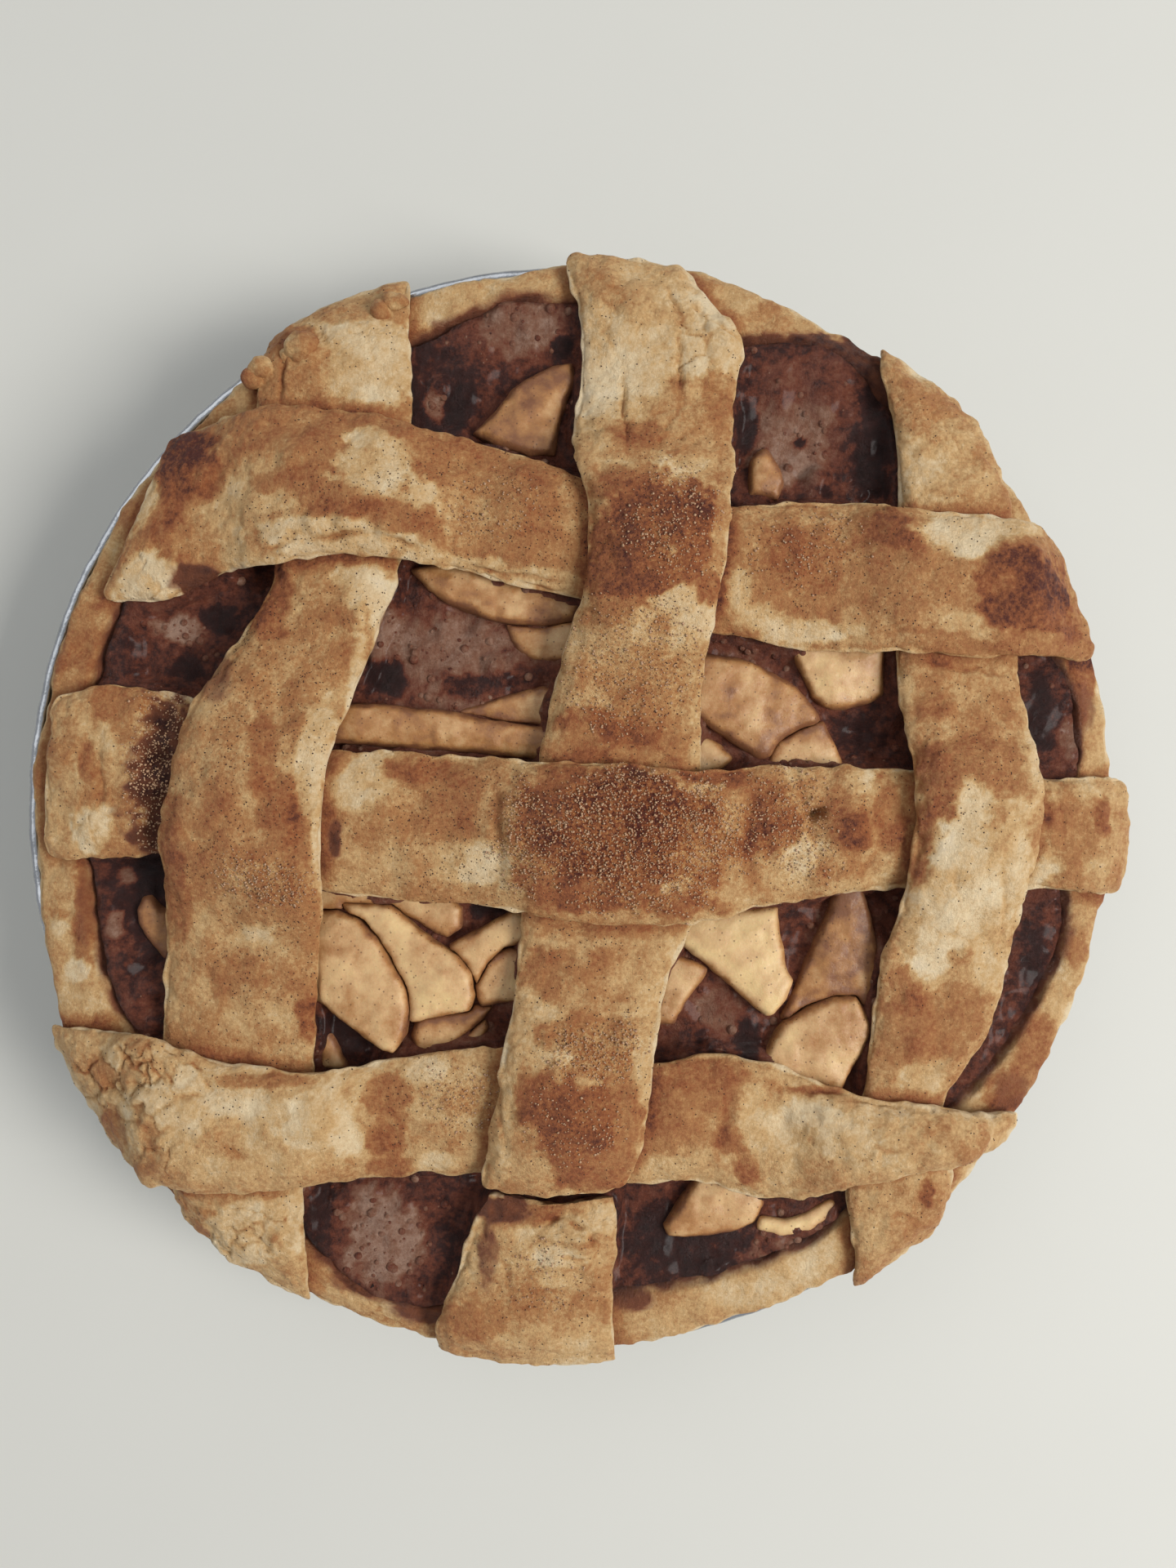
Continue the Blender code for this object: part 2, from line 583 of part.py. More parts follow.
def strip_mesh(strip, grow=0.0):
    """A strip laid over the bed and over the strips that it crosses. Grow makes it larger all round."""
    mesh = unit_slab(STRIP_CELLS_ALONG, STRIP_CELLS_ACROSS)
    seed = 2.0 + 3.7 * LATTICE.index(strip)
    for point in mesh.verts:
        along_share = (point.co.x + 1) / 2
        crowded = (1 - math.cos(math.pi * along_share)) / 2
        along_share = blend(along_share, crowded, STRIP_CROWDED_ENDS)
        side = math.copysign(abs(point.co.y) ** STRIP_CROWDED_EDGES, point.co.y)
        across_share = (side + 1) / 2
        start = strip_end(strip, strip.start, strip.start_torn, -grow, across_share)
        end = strip_end(strip, strip.end, strip.end_torn, grow, across_share)
        along = blend(start, end, along_share)
        across = blend(
            low_edges[strip.name](along) - grow, high_edges[strip.name](along) + grow, across_share
        )
        x, y = (across, along) if strip.runs == "y" else (along, across)
        under = crosses_under(strip, x, y)
        rise = step_up(strip, x, y)
        bottom = bed_height(x, y) + GAP + rise
        end_share = smooth_step(0, STRIP_END_TAPER, min(along - start, end - along))
        thickness = STRIP_THICKNESS * (1 - STRIP_ROUNDING * abs(side) ** 6)
        thickness *= blend(STRIP_END_THICKNESS, 1.0, end_share)
        swell = STRIP_LUMP * lumps(x, y, STRIP_LUMP_SIZE, seed) * (1 - abs(side) ** 4)
        swell += STRIP_PUFF * (rise / STRIP_THICKNESS) * (1 - side**2)
        if point.co.z > 0:
            height = bottom + thickness + swell * (1 - under) * end_share + grow
        else:
            height = bottom - grow
        point.co = Vector((x, y, height)) * MM
    if strip.runs == "y":
        bmesh.ops.reverse_faces(mesh, faces=mesh.faces)
    return mesh


def widened(outline, by):
    """The outline's corners moved outward, so that each side lies this much further out."""
    corners = [Vector(corner) for corner in outline]
    area = sum(a.x * b.y - a.y * b.x for a, b in zip(corners, corners[1:] + corners[:1]))
    moved = []
    for before, corner, after in zip(corners[-1:] + corners[:-1], corners, corners[1:] + corners[:1]):
        into = (corner - before).normalized()
        out_of = (after - corner).normalized()
        outward = Vector((into.y + out_of.y, -into.x - out_of.x)) * math.copysign(1, area)
        moved.append(corner + outward * by / (1 + into.dot(out_of)))
    return moved


def slice_mesh(piece, grow=0.0, raise_top=0.0):
    """A flat wedge of apple. Grow makes it that much larger all round, and raise_top lifts its upper face."""
    mesh = bmesh.new()
    base = mesh.faces.new([mesh.verts.new((x, y, 0)) for x, y in widened(piece.outline, grow)])
    made = bmesh.ops.extrude_face_region(mesh, geom=[base])
    top = [item for item in made["geom"] if isinstance(item, bmesh.types.BMVert)]
    bmesh.ops.translate(mesh, vec=(0, 0, -piece.thickness - 2 * grow), verts=list(set(mesh.verts) - set(top)))
    bmesh.ops.recalc_face_normals(mesh, faces=mesh.faces)
    if not grow:
        rims = [edge for edge in mesh.edges if edge.verts[0].co.z == edge.verts[1].co.z]
        bmesh.ops.bevel(
            mesh, geom=rims, offset=SLICE_BEVEL * piece.thickness, segments=1, profile=0.5, affect="EDGES",
            material=-1,
        )
    middle = sum((Vector(corner) for corner in piece.outline), Vector((0, 0))) / len(piece.outline)
    bed = bed_height(*middle)
    for point in mesh.verts:
        slope = piece.rise_x * (point.co.x - middle.x) + piece.rise_y * (point.co.y - middle.y)
        lifted = raise_top if point.co.z > -0.5 * piece.thickness else 0.0
        point.co.z += bed + piece.top + grow + slope + lifted
        point.co *= MM
    return mesh


def add_cutter(name, mesh, material, collection):
    """A helper that only cuts others: the copy of a piece, larger all round by the gap that it needs."""
    cutter = add_object(name, mesh, material, collection)
    cutter.hide_render = True
    cutter.display_type = "WIRE"
    return cutter


def cut_by(piece, cutter):
    """Cuts one object, or every object of a collection, from the piece."""
    cut = piece.modifiers.new(f"cut_{cutter.name}", "BOOLEAN")
    cut.operation = "DIFFERENCE"
    cut.solver = "EXACT"
    if isinstance(cutter, bpy.types.Collection):
        cut.operand_type = "COLLECTION"
        cut.collection = cutter
    else:
        cut.object = cutter


def outlines_meet(one, other):
    """Whether the upright boxes round the two slices' outlines come within a gap of each other."""
    for axis in (0, 1):
        mine = [corner[axis] for corner in one.outline]
        theirs = [corner[axis] for corner in other.outline]
        if min(mine) > max(theirs) + 2 * GAP or min(theirs) > max(mine) + 2 * GAP:
            return False
    return True


def build_slices(apple, collection, strip_cutters, slice_cutters):
    """The slices between the strips. What lies on one presses its shape into it."""
    cutters = []
    for piece in SLICES:
        made = add_object(piece.name, slice_mesh(piece), apple, collection)
        cut_by(made, strip_cutters)
        for earlier, cutter in cutters:
            if outlines_meet(piece, earlier):
                cut_by(made, cutter)
        hollow = slice_mesh(piece, GAP, HOLLOW_RAISE)
        cutters.append((piece, add_cutter(f"{piece.name}_cutter", hollow, apple, slice_cutters)))


def main():
    clear_scene()
    scene = bpy.context.scene
    pie = bpy.data.collections.new("apple_pie")
    strip_cutters = bpy.data.collections.new("strip_cutters")
    slice_cutters = bpy.data.collections.new("slice_cutters")
    for collection in (pie, strip_cutters, slice_cutters):
        scene.collection.children.link(collection)

    foil = pastry_material("foil", (0.78, 0.79, 0.80), 0.3, 1.0)
    crust = pastry_material("crust", (0.66, 0.42, 0.20), 0.75)
    lattice = pastry_material("lattice", (0.62, 0.36, 0.16), 0.7)
    syrup = pastry_material("syrup", (0.12, 0.035, 0.025), 0.25)
    apple = pastry_material("apple", (0.70, 0.48, 0.22), 0.45)

    build_tin(foil, pie)
    build_case(crust, pie)
    filling = build_filling(syrup, pie)
    cut_by(filling, slice_cutters)
    for strip in LATTICE:
        add_object(strip.name, strip_mesh(strip), lattice, pie)
        add_cutter(f"{strip.name}_cutter", strip_mesh(strip, GAP), lattice, strip_cutters)
    build_slices(apple, pie, strip_cutters, slice_cutters)


main()
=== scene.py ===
"""Dresses the lattice-topped apple pie: baked pastry, boiled syrup, soft fruit, sugar, spice and a foil tin.

Sizes in this file are in millimetres unless a property says otherwise, and +Z is up.
"""

import itertools
import json
import math
from collections import namedtuple

import bmesh
import bpy
import numpy as np
from bpy.props import FloatProperty, FloatVectorProperty, IntProperty, PointerProperty
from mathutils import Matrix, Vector
from mathutils.bvhtree import BVHTree
from mathutils.kdtree import KDTree

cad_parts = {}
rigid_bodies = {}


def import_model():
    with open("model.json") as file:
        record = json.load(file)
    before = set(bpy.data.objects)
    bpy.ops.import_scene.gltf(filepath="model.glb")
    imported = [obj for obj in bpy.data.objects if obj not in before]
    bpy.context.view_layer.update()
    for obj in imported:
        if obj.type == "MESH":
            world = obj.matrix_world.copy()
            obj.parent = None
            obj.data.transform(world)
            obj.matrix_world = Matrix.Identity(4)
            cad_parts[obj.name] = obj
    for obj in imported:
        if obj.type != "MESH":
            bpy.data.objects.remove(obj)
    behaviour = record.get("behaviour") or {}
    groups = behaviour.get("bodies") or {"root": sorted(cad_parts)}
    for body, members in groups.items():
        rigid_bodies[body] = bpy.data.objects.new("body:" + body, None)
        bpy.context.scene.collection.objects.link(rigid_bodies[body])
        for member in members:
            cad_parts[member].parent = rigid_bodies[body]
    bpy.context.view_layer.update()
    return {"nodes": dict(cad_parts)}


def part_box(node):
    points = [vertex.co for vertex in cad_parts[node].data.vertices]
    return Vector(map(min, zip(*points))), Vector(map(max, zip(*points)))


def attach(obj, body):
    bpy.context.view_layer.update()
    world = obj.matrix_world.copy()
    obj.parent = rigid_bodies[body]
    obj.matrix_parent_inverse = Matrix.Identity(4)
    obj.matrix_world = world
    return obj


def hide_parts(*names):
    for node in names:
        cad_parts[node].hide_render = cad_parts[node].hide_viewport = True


bl_info = {
    "name": "Lattice Apple Pie",
    "version": (1, 0, 0),
    "blender": (4, 5, 0),
    "location": "View3D > Sidebar > Pie",
    "description": "Builds a home-baked apple pie in its foil tin, piece by piece",
    "category": "Add Mesh",
}

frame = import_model()

MM = 0.001

# The bed that the lattice lies on, as height by distance from the middle.
BED_PROFILE = [
    (0, 43.0), (40, 42.2), (70, 40.3), (90, 38.5), (100, 38.7), (107, 37.9), (111, 36.4), (117, 32.5),
]

# How one piece of pastry is baked and dusted. Patches, stains, sugar and spice are rows of x, y, half width,
# half depth and strength, and later patches cover earlier ones; a few patches are painted shade where one
# strip shades another. Creases are rows of x and y at both ends, depth and width, and the pastry is painted
# darker in them as shade. Lumps are rows of x, y, radius and height, and a pit has a height below zero. Where
# it is cracked, the crust broke into small plates, and the cracks are painted darker as shade.
Baking = namedtuple("Baking", "tone patches creases lumps stains sugar spice cracked", defaults=[()] * 5)

BAKING = {
    "strip_back": Baking(
        tone=0.5,
        patches=[
            (-74.8, 72, 8, 4.5, 0.97), (-76.7, 67, 5, 5, 0.9), (-71.7, 65, 7, 5, 0.72),
            (-77.6, 56.1, 4, 7, 0.62), (-78.6, 52.2, 3, 4, 0.6), (-85.7, 61.2, 4, 8, 0.22),
            (-82.5, 45.3, 7, 5, 0.08), (-68.8, 54.2, 9, 6, 0.42), (-60.7, 49.1, 8, 4, 0.28),
            (-64.6, 45.2, 5, 3, 0.25), (-55, 74.8, 22, 3.5, 0.55), (-60.9, 68.9, 9, 5, 0.57),
            (-57, 66.9, 6, 4, 0.4), (-60.8, 59, 9, 7, 0.33), (-48.9, 62.8, 10, 3, 0.58),
            (-36.1, 64.7, 8, 6, 0.17), (-26.2, 60.6, 6, 5, 0.19), (-38.2, 71.7, 4, 2, 0.1),
            (-23.3, 56.6, 3, 4, 0.2), (-39, 56.7, 12, 3, 0.62), (-29.1, 54.7, 6, 3, 0.6),
            (-48.8, 52.9, 14, 3.5, 0.12), (-38.9, 51.3, 13, 2, 0.08), (-54.7, 47.5, 10, 3, 0.14),
            (-27.1, 48.8, 5, 2, 0.1), (-11.6, 60.5, 11, 7, 0.53), (-19.4, 58.6, 4, 9, 0.52),
            (-4.8, 56.6, 8, 7, 0.43), (-11.5, 50.7, 12, 4, 0.52), (1.1, 58.5, 3.5, 9, 0.38),
            (-2.8, 51.6, 7, 3, 0.5), (-19.3, 47.7, 8, 1.5, 0.22), (-9.6, 44.8, 12, 2, 0.25),
            (0.1, 43.8, 4, 3, 0.35), (-24.4, 74.6, 10, 3, 0.5), (34.2, 50.8, 4, 9, 0.42),
            (33.2, 41.9, 3, 5, 0.15), (37.1, 37.1, 5, 3, 0.25), (47, 51.9, 9, 7, 0.68),
            (48.9, 46, 7, 4, 0.62), (45.1, 56.8, 10, 2.5, 0.5), (62.9, 53.1, 7, 6, 0.72),
            (58.8, 45.1, 5, 6, 0.45), (64.8, 46.2, 6, 4, 0.6), (46.8, 34.7, 8, 3, 0.15),
            (55.7, 36.2, 3, 3, 0.3), (68.7, 37.3, 12, 2.5, 0.4), (70.8, 44.3, 10, 5, 0.5),
            (76.8, 54.2, 9, 4, 0.15), (78.7, 50.2, 4, 2, 0.12), (86.7, 55.2, 8, 3, 0.2),
            (88.6, 45.3, 9, 6, 0.95), (94.6, 40.4, 7, 6, 0.98), (82.7, 43.3, 4, 6, 0.75),
            (90.5, 37.4, 12, 4, 0.85), (99.7, 35.6, 3, 3, 0.7), (81.7, 33.5, 6, 2, 0.25),
            (76.7, 35.9, 5, 2, 0.25), (90.5, 32.5, 7, 2, 0.5), (-74, 69, 6, 6.5, 0.98),
            (-77.6, 61, 2.5, 5, 0.8), (-71, 64.5, 4, 4, 0.75), (-21, 68, 9, 5, 0.64),
            (-48, 50.5, 8, 2.5, 0.08),
        ],
        creases=[
            (-50.7, 51.9, -37, 52.8, 1.53, 0.6), (-37, 52.8, -27.1, 50.2, 1.19, 0.6),
            (-59.7, 49.6, -50.8, 53.4, 1.02, 0.6), (-27.1, 47.8, 0.1, 43.8, 0.8, 0.5),
            (-24.2, 45.8, 0.1, 41.8, 0.6, 0.45), (-64.6, 46.7, -52.6, 46, 0.4, 0.5),
            (-58.6, 47.6, -38.9, 49.8, 0.5, 0.45), (58.7, 33.3, 73.7, 35.4, 0.4, 0.6),
            (33.2, 48.8, 35.1, 39, 0.4, 0.6), (-45.1, 68.8, -39.2, 72.7, 0.3, 0.5),
            (82.7, 33.5, 94.5, 34.5, 0.4, 0.5),
        ],
        lumps=[
            (-54.7, 51.5, 3, 0.95), (-48.8, 54.9, 3.5, 1.14), (-41.9, 54.8, 3, 1.14), (-35, 53.7, 3, 0.95),
            (-51, 68.9, 9, 0.8), (-11.6, 59.5, 11, 0.9), (48, 50.9, 10, 0.8), (63.9, 53.1, 8, 0.7),
            (88.6, 45.3, 9, 0.7), (-74.7, 67, 7, 0.6),
        ],
        stains=[(-72.6, 45.3, 5, 3, 0.8), (-64.6, 43.7, 5, 3, 0.5)],
        sugar=[(-13.5, 58.6, 10, 7, 0.18), (47, 50.9, 12, 8, 0.22)],
        spice=[(-19.4, 56.6, 40, 12, 0.8), (48.9, 44, 30, 12, 0.5)],
        cracked=[(-82, 45, 6, 7, 0.7), (-60, 55, 10, 6, 0.35), (96, 36, 6, 3, 0.5)],
    ),
    "strip_centre": Baking(
        tone=0.34,
        patches=[
            (7, -32, 9, 7, 0.52), (9.9, 86.6, 10, 15, 0.16), (27.6, 90.5, 8, 11, 0.14),
            (17.8, 96.4, 8, 6, 0.28), (6, 96.4, 4, 6, 0.2), (11.9, 101.5, 8, 4, 0.32),
            (26.6, 81.6, 8, 4, 0.42), (19.7, 77.5, 9, 4, 0.35), (7.9, 72.5, 8, 4, 0.3),
            (14.8, 72.5, 8, 4, 0.6), (23.6, 72.5, 6, 5, 0.35), (22.6, 66, 6, 3, 0.12),
            (30.5, 73.6, 1.5, 12, 0.4), (11.8, 68.5, 6, 2, 0.45), (11.8, 62.5, 9, 4, 0.6),
            (19.6, 56.6, 10, 8, 0.85), (24.4, 50.7, 5, 12, 0.82), (11.8, 50.7, 8, 10, 0.8),
            (7.9, 44.8, 5, 7, 0.75), (15.7, 43.8, 9, 6, 0.75), (25.4, 40.9, 3, 5, 0.7),
            (29.3, 48.8, 1.5, 9, 0.45), (21.5, 40.4, 2.5, 2, 0.2), (26.3, 35.1, 5, 3, 0.16),
            (7.9, 36.9, 6, 4, 0.5), (16.6, 34, 7, 4, 0.35), (18.5, 35, 2, 2, 0.6), (9.8, 28.2, 14, 6, 0.38),
            (19.5, 30.2, 6, 3, 0.3), (9.8, 15.6, 11, 5, 0.68), (17.6, 21.4, 8, 3, 0.42),
            (21.4, 13.7, 3, 5, 0.5), (4, 13.7, 4, 4, 0.5), (-3.7, -24, 6, 3, 0.25), (5, -24, 10, 2.5, 0.4),
            (14.7, -28.9, 6, 6, 0.45), (-4.7, -31.8, 5, 5, 0.6), (0.1, -34.7, 8, 4, 0.55),
            (7.9, -36.6, 8, 4, 0.42), (5, -43.5, 10, 4, 0.62), (7.9, -48.4, 8, 4, 0.62),
            (-3.8, -56.3, 6, 7, 0.66), (4, -60.3, 10, 9, 0.74), (5, -70.2, 8, 5, 0.68),
            (11.8, -58.3, 3, 10, 0.62), (14.7, -48.4, 2, 8, 0.4), (-12.6, -60.3, 3, 12, 0.2),
            (25.4, 39, 4, 4, 0.16), (28.3, 42.9, 2, 5, 0.2), (19.5, 39.4, 4, 1.6, 0.22),
            (28, 42.5, 3, 4, 0.72), (30.5, 82, 4, 5, 0.48), (14, 24, 12, 7, 0.5),
        ],
        creases=[
            (11.2, 88.6, 11.8, 68.5, 1, 0.45), (22.2, 96.4, 22.7, 80.6, 1.1, 0.6),
            (19.8, 103.6, 22.7, 95.4, 0.9, 0.5), (22.7, 95.4, 21.7, 81.6, 0.6, 0.4),
            (26.6, 97.5, 34.5, 92.5, 0.8, 0.5), (25.6, 84.7, 33.5, 80.7, 0.6, 0.5),
            (7.9, 94.5, 9.9, 88.6, 0.5, 0.4), (13.8, 75.5, 21.7, 78.6, 0.4, 0.4),
            (23.7, 101.6, 27.6, 96.5, 0.6, 0.45), (23.6, 80.6, 19.7, 74.5, 0.5, 0.4),
            (29.4, 68.6, 30.3, 58.6, 0.4, 0.6), (-13.5, -48.4, -11.6, -66.2, 0.5, 0.6),
        ],
        lumps=[
            (30.5, 94.5, 6, 1.4), (29.6, 88.6, 4, 0.8), (18.6, 50.7, 12, 1), (1.1, -60.3, 12, 0.9),
            (6, 98.4, 5, 0.7), (13.8, 100.5, 5, 0.6), (12.7, 32.1, 9, 0.5), (19.7, 74.5, 1, -1),
            (22.6, 72.5, 0.8, -0.9), (25.1, 71.6, 0.7, -0.8), (21.1, 70, 0.7, -0.7), (18.2, 71.5, 0.8, -0.8),
            (25.6, 75.6, 0.7, -0.7),
        ],
        sugar=[
            (19.6, 54.6, 9, 12, 0.5), (12.7, 26.3, 14, 14, 0.4), (5.9, -46.4, 9, 6, 0.8),
            (2.1, -60.3, 9, 8, 0.3),
        ],
        spice=[(13.7, 38.9, 16, 35, 0.8), (5, -38.6, 14, 30, 0.5)],
        cracked=[(27, 90, 7, 10, 0.8), (10, 98, 6, 6, 0.4), (22, 72, 6, 5, 0.5)],
    ),
    "strip_centre_foot": Baking(
        tone=0.34,
        patches=[
            (-0.9, -82.3, 7, 3, 0.1), (-1.9, -88.4, 6, 2.5, 0.12), (7.9, -81.3, 3, 3, 0.15),
            (-13.7, -85.4, 6, 5, 0.45), (-7.8, -96.2, 10, 6, 0.48), (-17.7, -101.4, 6, 4, 0.5),
            (3, -100.3, 6, 5, 0.5), (0.1, -93.3, 8, 2, 0.3), (-9, -80, 9, 3, 0.6),
        ],
        creases=[
            (-4.8, -82.4, 0.1, -81.3, 1, 0.5), (0.1, -81.3, 4, -83.4, 1.2, 0.5),
            (4, -83.4, 6, -86.4, 1, 0.5), (-2.9, -87.4, 5, -89.4, 0.6, 0.5),
            (-13.7, -86.4, -9.8, -98.2, 0.4, 0.6), (-7.8, -95.3, 2, -94.3, 0.4, 0.5),
        ],
        lumps=[(3, -86.4, 4, 0.9), (-1.9, -89.4, 4, 0.6)],
        stains=[(-15.7, -88.4, 2, 8, 0.5), (-13, -79.5, 6, 3, 0.75)],
        sugar=[(-5.8, -92.3, 10, 8, 0.2)],
        spice=[(-4.8, -90.4, 14, 12, 0.4)],
        cracked=[(1, -84, 10, 5, 0.9), (-12, -98, 6, 6, 0.3)],
    ),
    "strip_middle": Baking(
        tone=0.4,
        patches=[
            (12, -5, 24, 13, 0.82), (-89.4, 18.8, 6, 8, 0.62), (-95.3, 11.9, 2, 10, 0.35),
            (-93.3, 9.9, 3, 6, 0.5), (-93.3, -3.9, 5, 5, 0.06), (-91.4, 12.9, 3, 5, 0.3),
            (-94.3, 8.9, 2, 4, 0.65), (-41.5, 4, 6, 5, 0.1), (-36.7, 6.9, 5, 4, 0.16),
            (-27, 6.9, 8, 3, 0.62), (-21.1, 3.1, 7, 5, 0.55), (-32.8, -3.7, 8, 5, 0.45),
            (-28.9, -10.5, 10, 4, 0.35), (-19.2, -3.7, 8, 4, 0.52), (-16.3, -10.5, 6, 5, 0.15),
            (-12.4, -11.4, 2, 5, 0.15), (-38.6, -13.4, 8, 3, 0.4), (-7.6, -5.6, 3, 10, 0.55),
            (0.1, 0.2, 8, 10, 0.8), (11.7, 2.1, 12, 6, 0.86), (19.5, -2.7, 10, 6, 0.95),
            (11.7, -11.4, 14, 6, 0.85), (27.2, -9.5, 8, 8, 0.72), (5, -17.2, 12, 3, 0.75),
            (21.4, -18.2, 10, 3, 0.7), (-5.7, -14.3, 4, 5, 0.65), (35, -13.4, 5, 4, 0.5),
            (36.9, 2.1, 7, 4, 0.6), (38.9, -3.7, 7, 6, 0.78), (42.8, -7.6, 5, 3, 0.65),
            (33, -0.8, 3, 4, 0.5), (45.7, -10.5, 5, 4, 0.2), (48.7, -7.6, 3, 6, 0.22),
            (44.7, 6.9, 3, 2, 0.2), (42.8, -14.4, 6, 3, 0.38), (34, -16.3, 5, 3, 0.35),
            (53.6, -1.8, 3, 8, 0.55), (56.6, -4.7, 5, 5, 0.72), (57.5, 5, 4, 3, 0.2),
            (61.5, -0.9, 3, 7, 0.4), (54.6, -11.5, 6, 4, 0.45), (60.5, -10.6, 4, 3, 0.4),
            (53.6, -15.4, 5, 2, 0.25), (94.4, 0.1, 4, 10, 0.25), (100.4, -3.9, 6, 7, 0.48),
            (102.5, 0.1, 5, 6, 0.5), (93.5, -12.7, 4, 3, 0.1), (106.7, -0.9, 2, 4, 0.75),
            (102.5, 4, 5, 2, 0.3), (104.6, -13.7, 3, 3, 0.3), (-13.5, -1, 4, 7, 0.3), (27, 7, 8, 3, 0.85),
            # The next patch is a painted shadow where strip_right's edge lies over this strip.
            (63, -2, 3.5, 9, 0.68),
        ],
        creases=[
            (35, 6, 36, -17.3, 0.6, 1.2), (-13.4, 7.9, -12.4, -13.4, 0.6, 1),
            (50.6, 6, 48.7, -11.5, 0.5, 0.9), (-34.7, 7.9, -25, 1.1, 0.4, 0.45),
            (-42.5, 2.1, -32.8, 6, 0.3, 0.5), (38.9, -11.5, 46.7, -8.6, 0.5, 0.6),
            (-92.3, 13.8, -91.4, -1.9, 0.5, 0.5), (-95.3, 2, -88.5, 3, 0.6, 0.5),
            (56.6, -13.5, 62.5, -7.7, 0.5, 0.6), (96.4, 6, 98.4, -7.8, 0.4, 0.6),
            (44.5, 8, 50.5, -14, 0.8, 0.9), (36, 4, 40, -12, 0.5, 0.8),
        ],
        lumps=[
            (-81, 18, 6, -1.8), (-81, 10, 6, -2), (-81, 2, 6, -2), (-81, -6, 6, -1.6), (12.7, -6.6, 18, 1),
            (55.6, -3.8, 8, 1.1), (49.2, -0.8, 2, -2.2), (-38.6, 1.1, 8, 0.5), (-90.4, 11.9, 6, 0.6),
            (-93.3, -3.9, 5, 0.5), (40.8, -0.8, 7, 0.5), (56, -2, 7, 1.1), (42, 0, 6, 0.8),
            (48.5, -1, 2.4, -2.2),
        ],
        stains=[(-79.6, 5, 6.6, 19, 0.8), (-80, 8, 3.5, 10, 1), (-45, -6.7, 1.5, 4, 0.8)],
        sugar=[(13.7, -5.6, 24, 13, 1), (42.8, -3.7, 10, 12, 0.5), (-80.4, 5, 6.5, 17, 0.9)],
        spice=[(-14.4, -4.7, 30, 14, 1), (48.7, -4.7, 20, 12, 0.5)],
        cracked=[(-93, -2, 5, 7, 0.6), (47, -9, 7, 5, 0.4)],
    ),
    "strip_left": Baking(
        tone=0.42,
        patches=[
            (-44.2, 90.6, 12, 8, 0.16), (-39.3, 84.6, 8, 5, 0.2), (-34.3, 90.5, 4, 10, 0.2),
            (-37.3, 81.7, 6, 2, 0.1), (-51.1, 86.6, 5, 6, 0.36), (-59.1, 85.8, 3, 6, 0.4),
            (-65.2, 85, 3, 4, 0.35), (-52.3, 92.9, 4, 3, 0.55), (-32.5, 99.6, 4, 4, 0.5),
            (-44.4, 97.9, 6, 2, 0.45), (-38.8, 43, 5, 8, 0.08), (-42.8, 44.9, 5, 3, 0.12),
            (-36.8, 37.1, 1.5, 6, 0.08), (-48.7, 42, 6, 4, 0.4), (-46.6, 34.2, 9, 5, 0.5),
            (-48.5, 27.4, 9, 6, 0.48), (-56.5, 31.3, 6, 5, 0.45), (-63.4, 29.4, 4, 6, 0.42),
            (-64.3, 11.8, 4, 10, 0.48), (-58.3, 14.7, 5, 9, 0.42), (-53.4, 17.6, 3, 10, 0.55),
            (-47.5, 13.7, 3, 9, 0.15), (-54.3, -0.8, 5, 8, 0.68), (-49.4, 7.9, 2.5, 10, 0.2),
            (-47.9, 0.1, 1, 12, 0.15), (-68.2, -2.8, 8, 8, 0.55), (-60.3, -5.7, 6, 6, 0.5),
            (-55.3, -8.6, 6, 5, 0.6), (-72.3, 5, 3, 10, 0.4), (-64.3, -13.5, 10, 4, 0.47),
            (-56.4, -16.4, 5, 3, 0.5), (-66.3, -23.3, 9, 6, 0.45), (-58.4, -25.2, 5, 4, 0.22),
            (-55.5, -29.1, 5, 6, 0.4), (-64.4, -33.1, 9, 5, 0.55), (-73.5, -31.3, 3, 10, 0.4),
            (-58.5, -39, 8, 5, 0.35), (-68.6, -41.1, 9, 3, 0.4), (-50.6, -42.8, 3, 6, 0.3),
            (-60.9, -80.6, 8, 6, 0.22), (-68.9, -76.8, 6, 3, 0.3), (-65.3, -87.1, 7, 4, 0.3),
            (-54, -80.5, 2, 8, 0.15), (-56.3, -91.9, 6, 3, 0.35), (-40.6, 24.4, 2, 12, 0.14),
            (-44.5, 6, 1.8, 10, 0.14), (-46.8, -11.5, 1.5, 10, 0.2), (-63.1, -84.8, 9, 7, 0.14),
            # The first two patches on the next line are painted shade, on a shaded edge and along a crease.
            (-58, 41, 4, 9, 0.72), (-57.6, 7, 3, 13, 0.7), (-51, -41, 2.5, 5, 0.75), (-76, -14, 3, 14, 0.62),
        ],
        creases=[
            (-56.3, 92, -56.4, 78.7, 1, 0.5), (-62.4, 89.2, -62.4, 78.8, 1, 0.5),
            (-49.4, 96, -46.2, 88.6, 0.5, 0.5), (-39.3, 93.6, -37.3, 84.6, 0.3, 0.5),
            (-50.4, 11.8, -51.4, -7.6, 0.5, 1.4), (-70.3, 21.6, -62.4, 33.3, 0.4, 0.6),
            (-64.3, -15.5, -56.4, -18.4, 0.4, 0.6), (-65, -82.8, -57.1, -88.7, 0.5, 0.5),
        ],
        lumps=[
            (-51.2, 89.7, 4, 1.6), (-32, 99.6, 4, 1.3), (-60.6, 86.9, 3, 1), (-62.3, 5, 8, 0.6),
            (-54.3, -1.8, 6, 0.6), (-64.4, -33.1, 8, 0.5),
        ],
        stains=[(-68.4, 25.5, 3, 5, 0.4)],
        sugar=[(-58.3, -13.5, 10, 5, 0.6)],
        spice=[(-58.3, 0.1, 14, 45, 0.9), (-40.8, 39, 10, 8, 0.6)],
        cracked=[(-64, -82, 13, 10, 0.8), (-45, 88, 10, 9, 0.3)],
    ),
    "strip_right": Baking(
        tone=0.38,
        patches=[
            (69.1, 78.9, 5, 8, 0.38), (74, 73, 8, 6, 0.4), (66.9, 68.9, 4, 6, 0.22), (71.8, 64, 8, 4, 0.2),
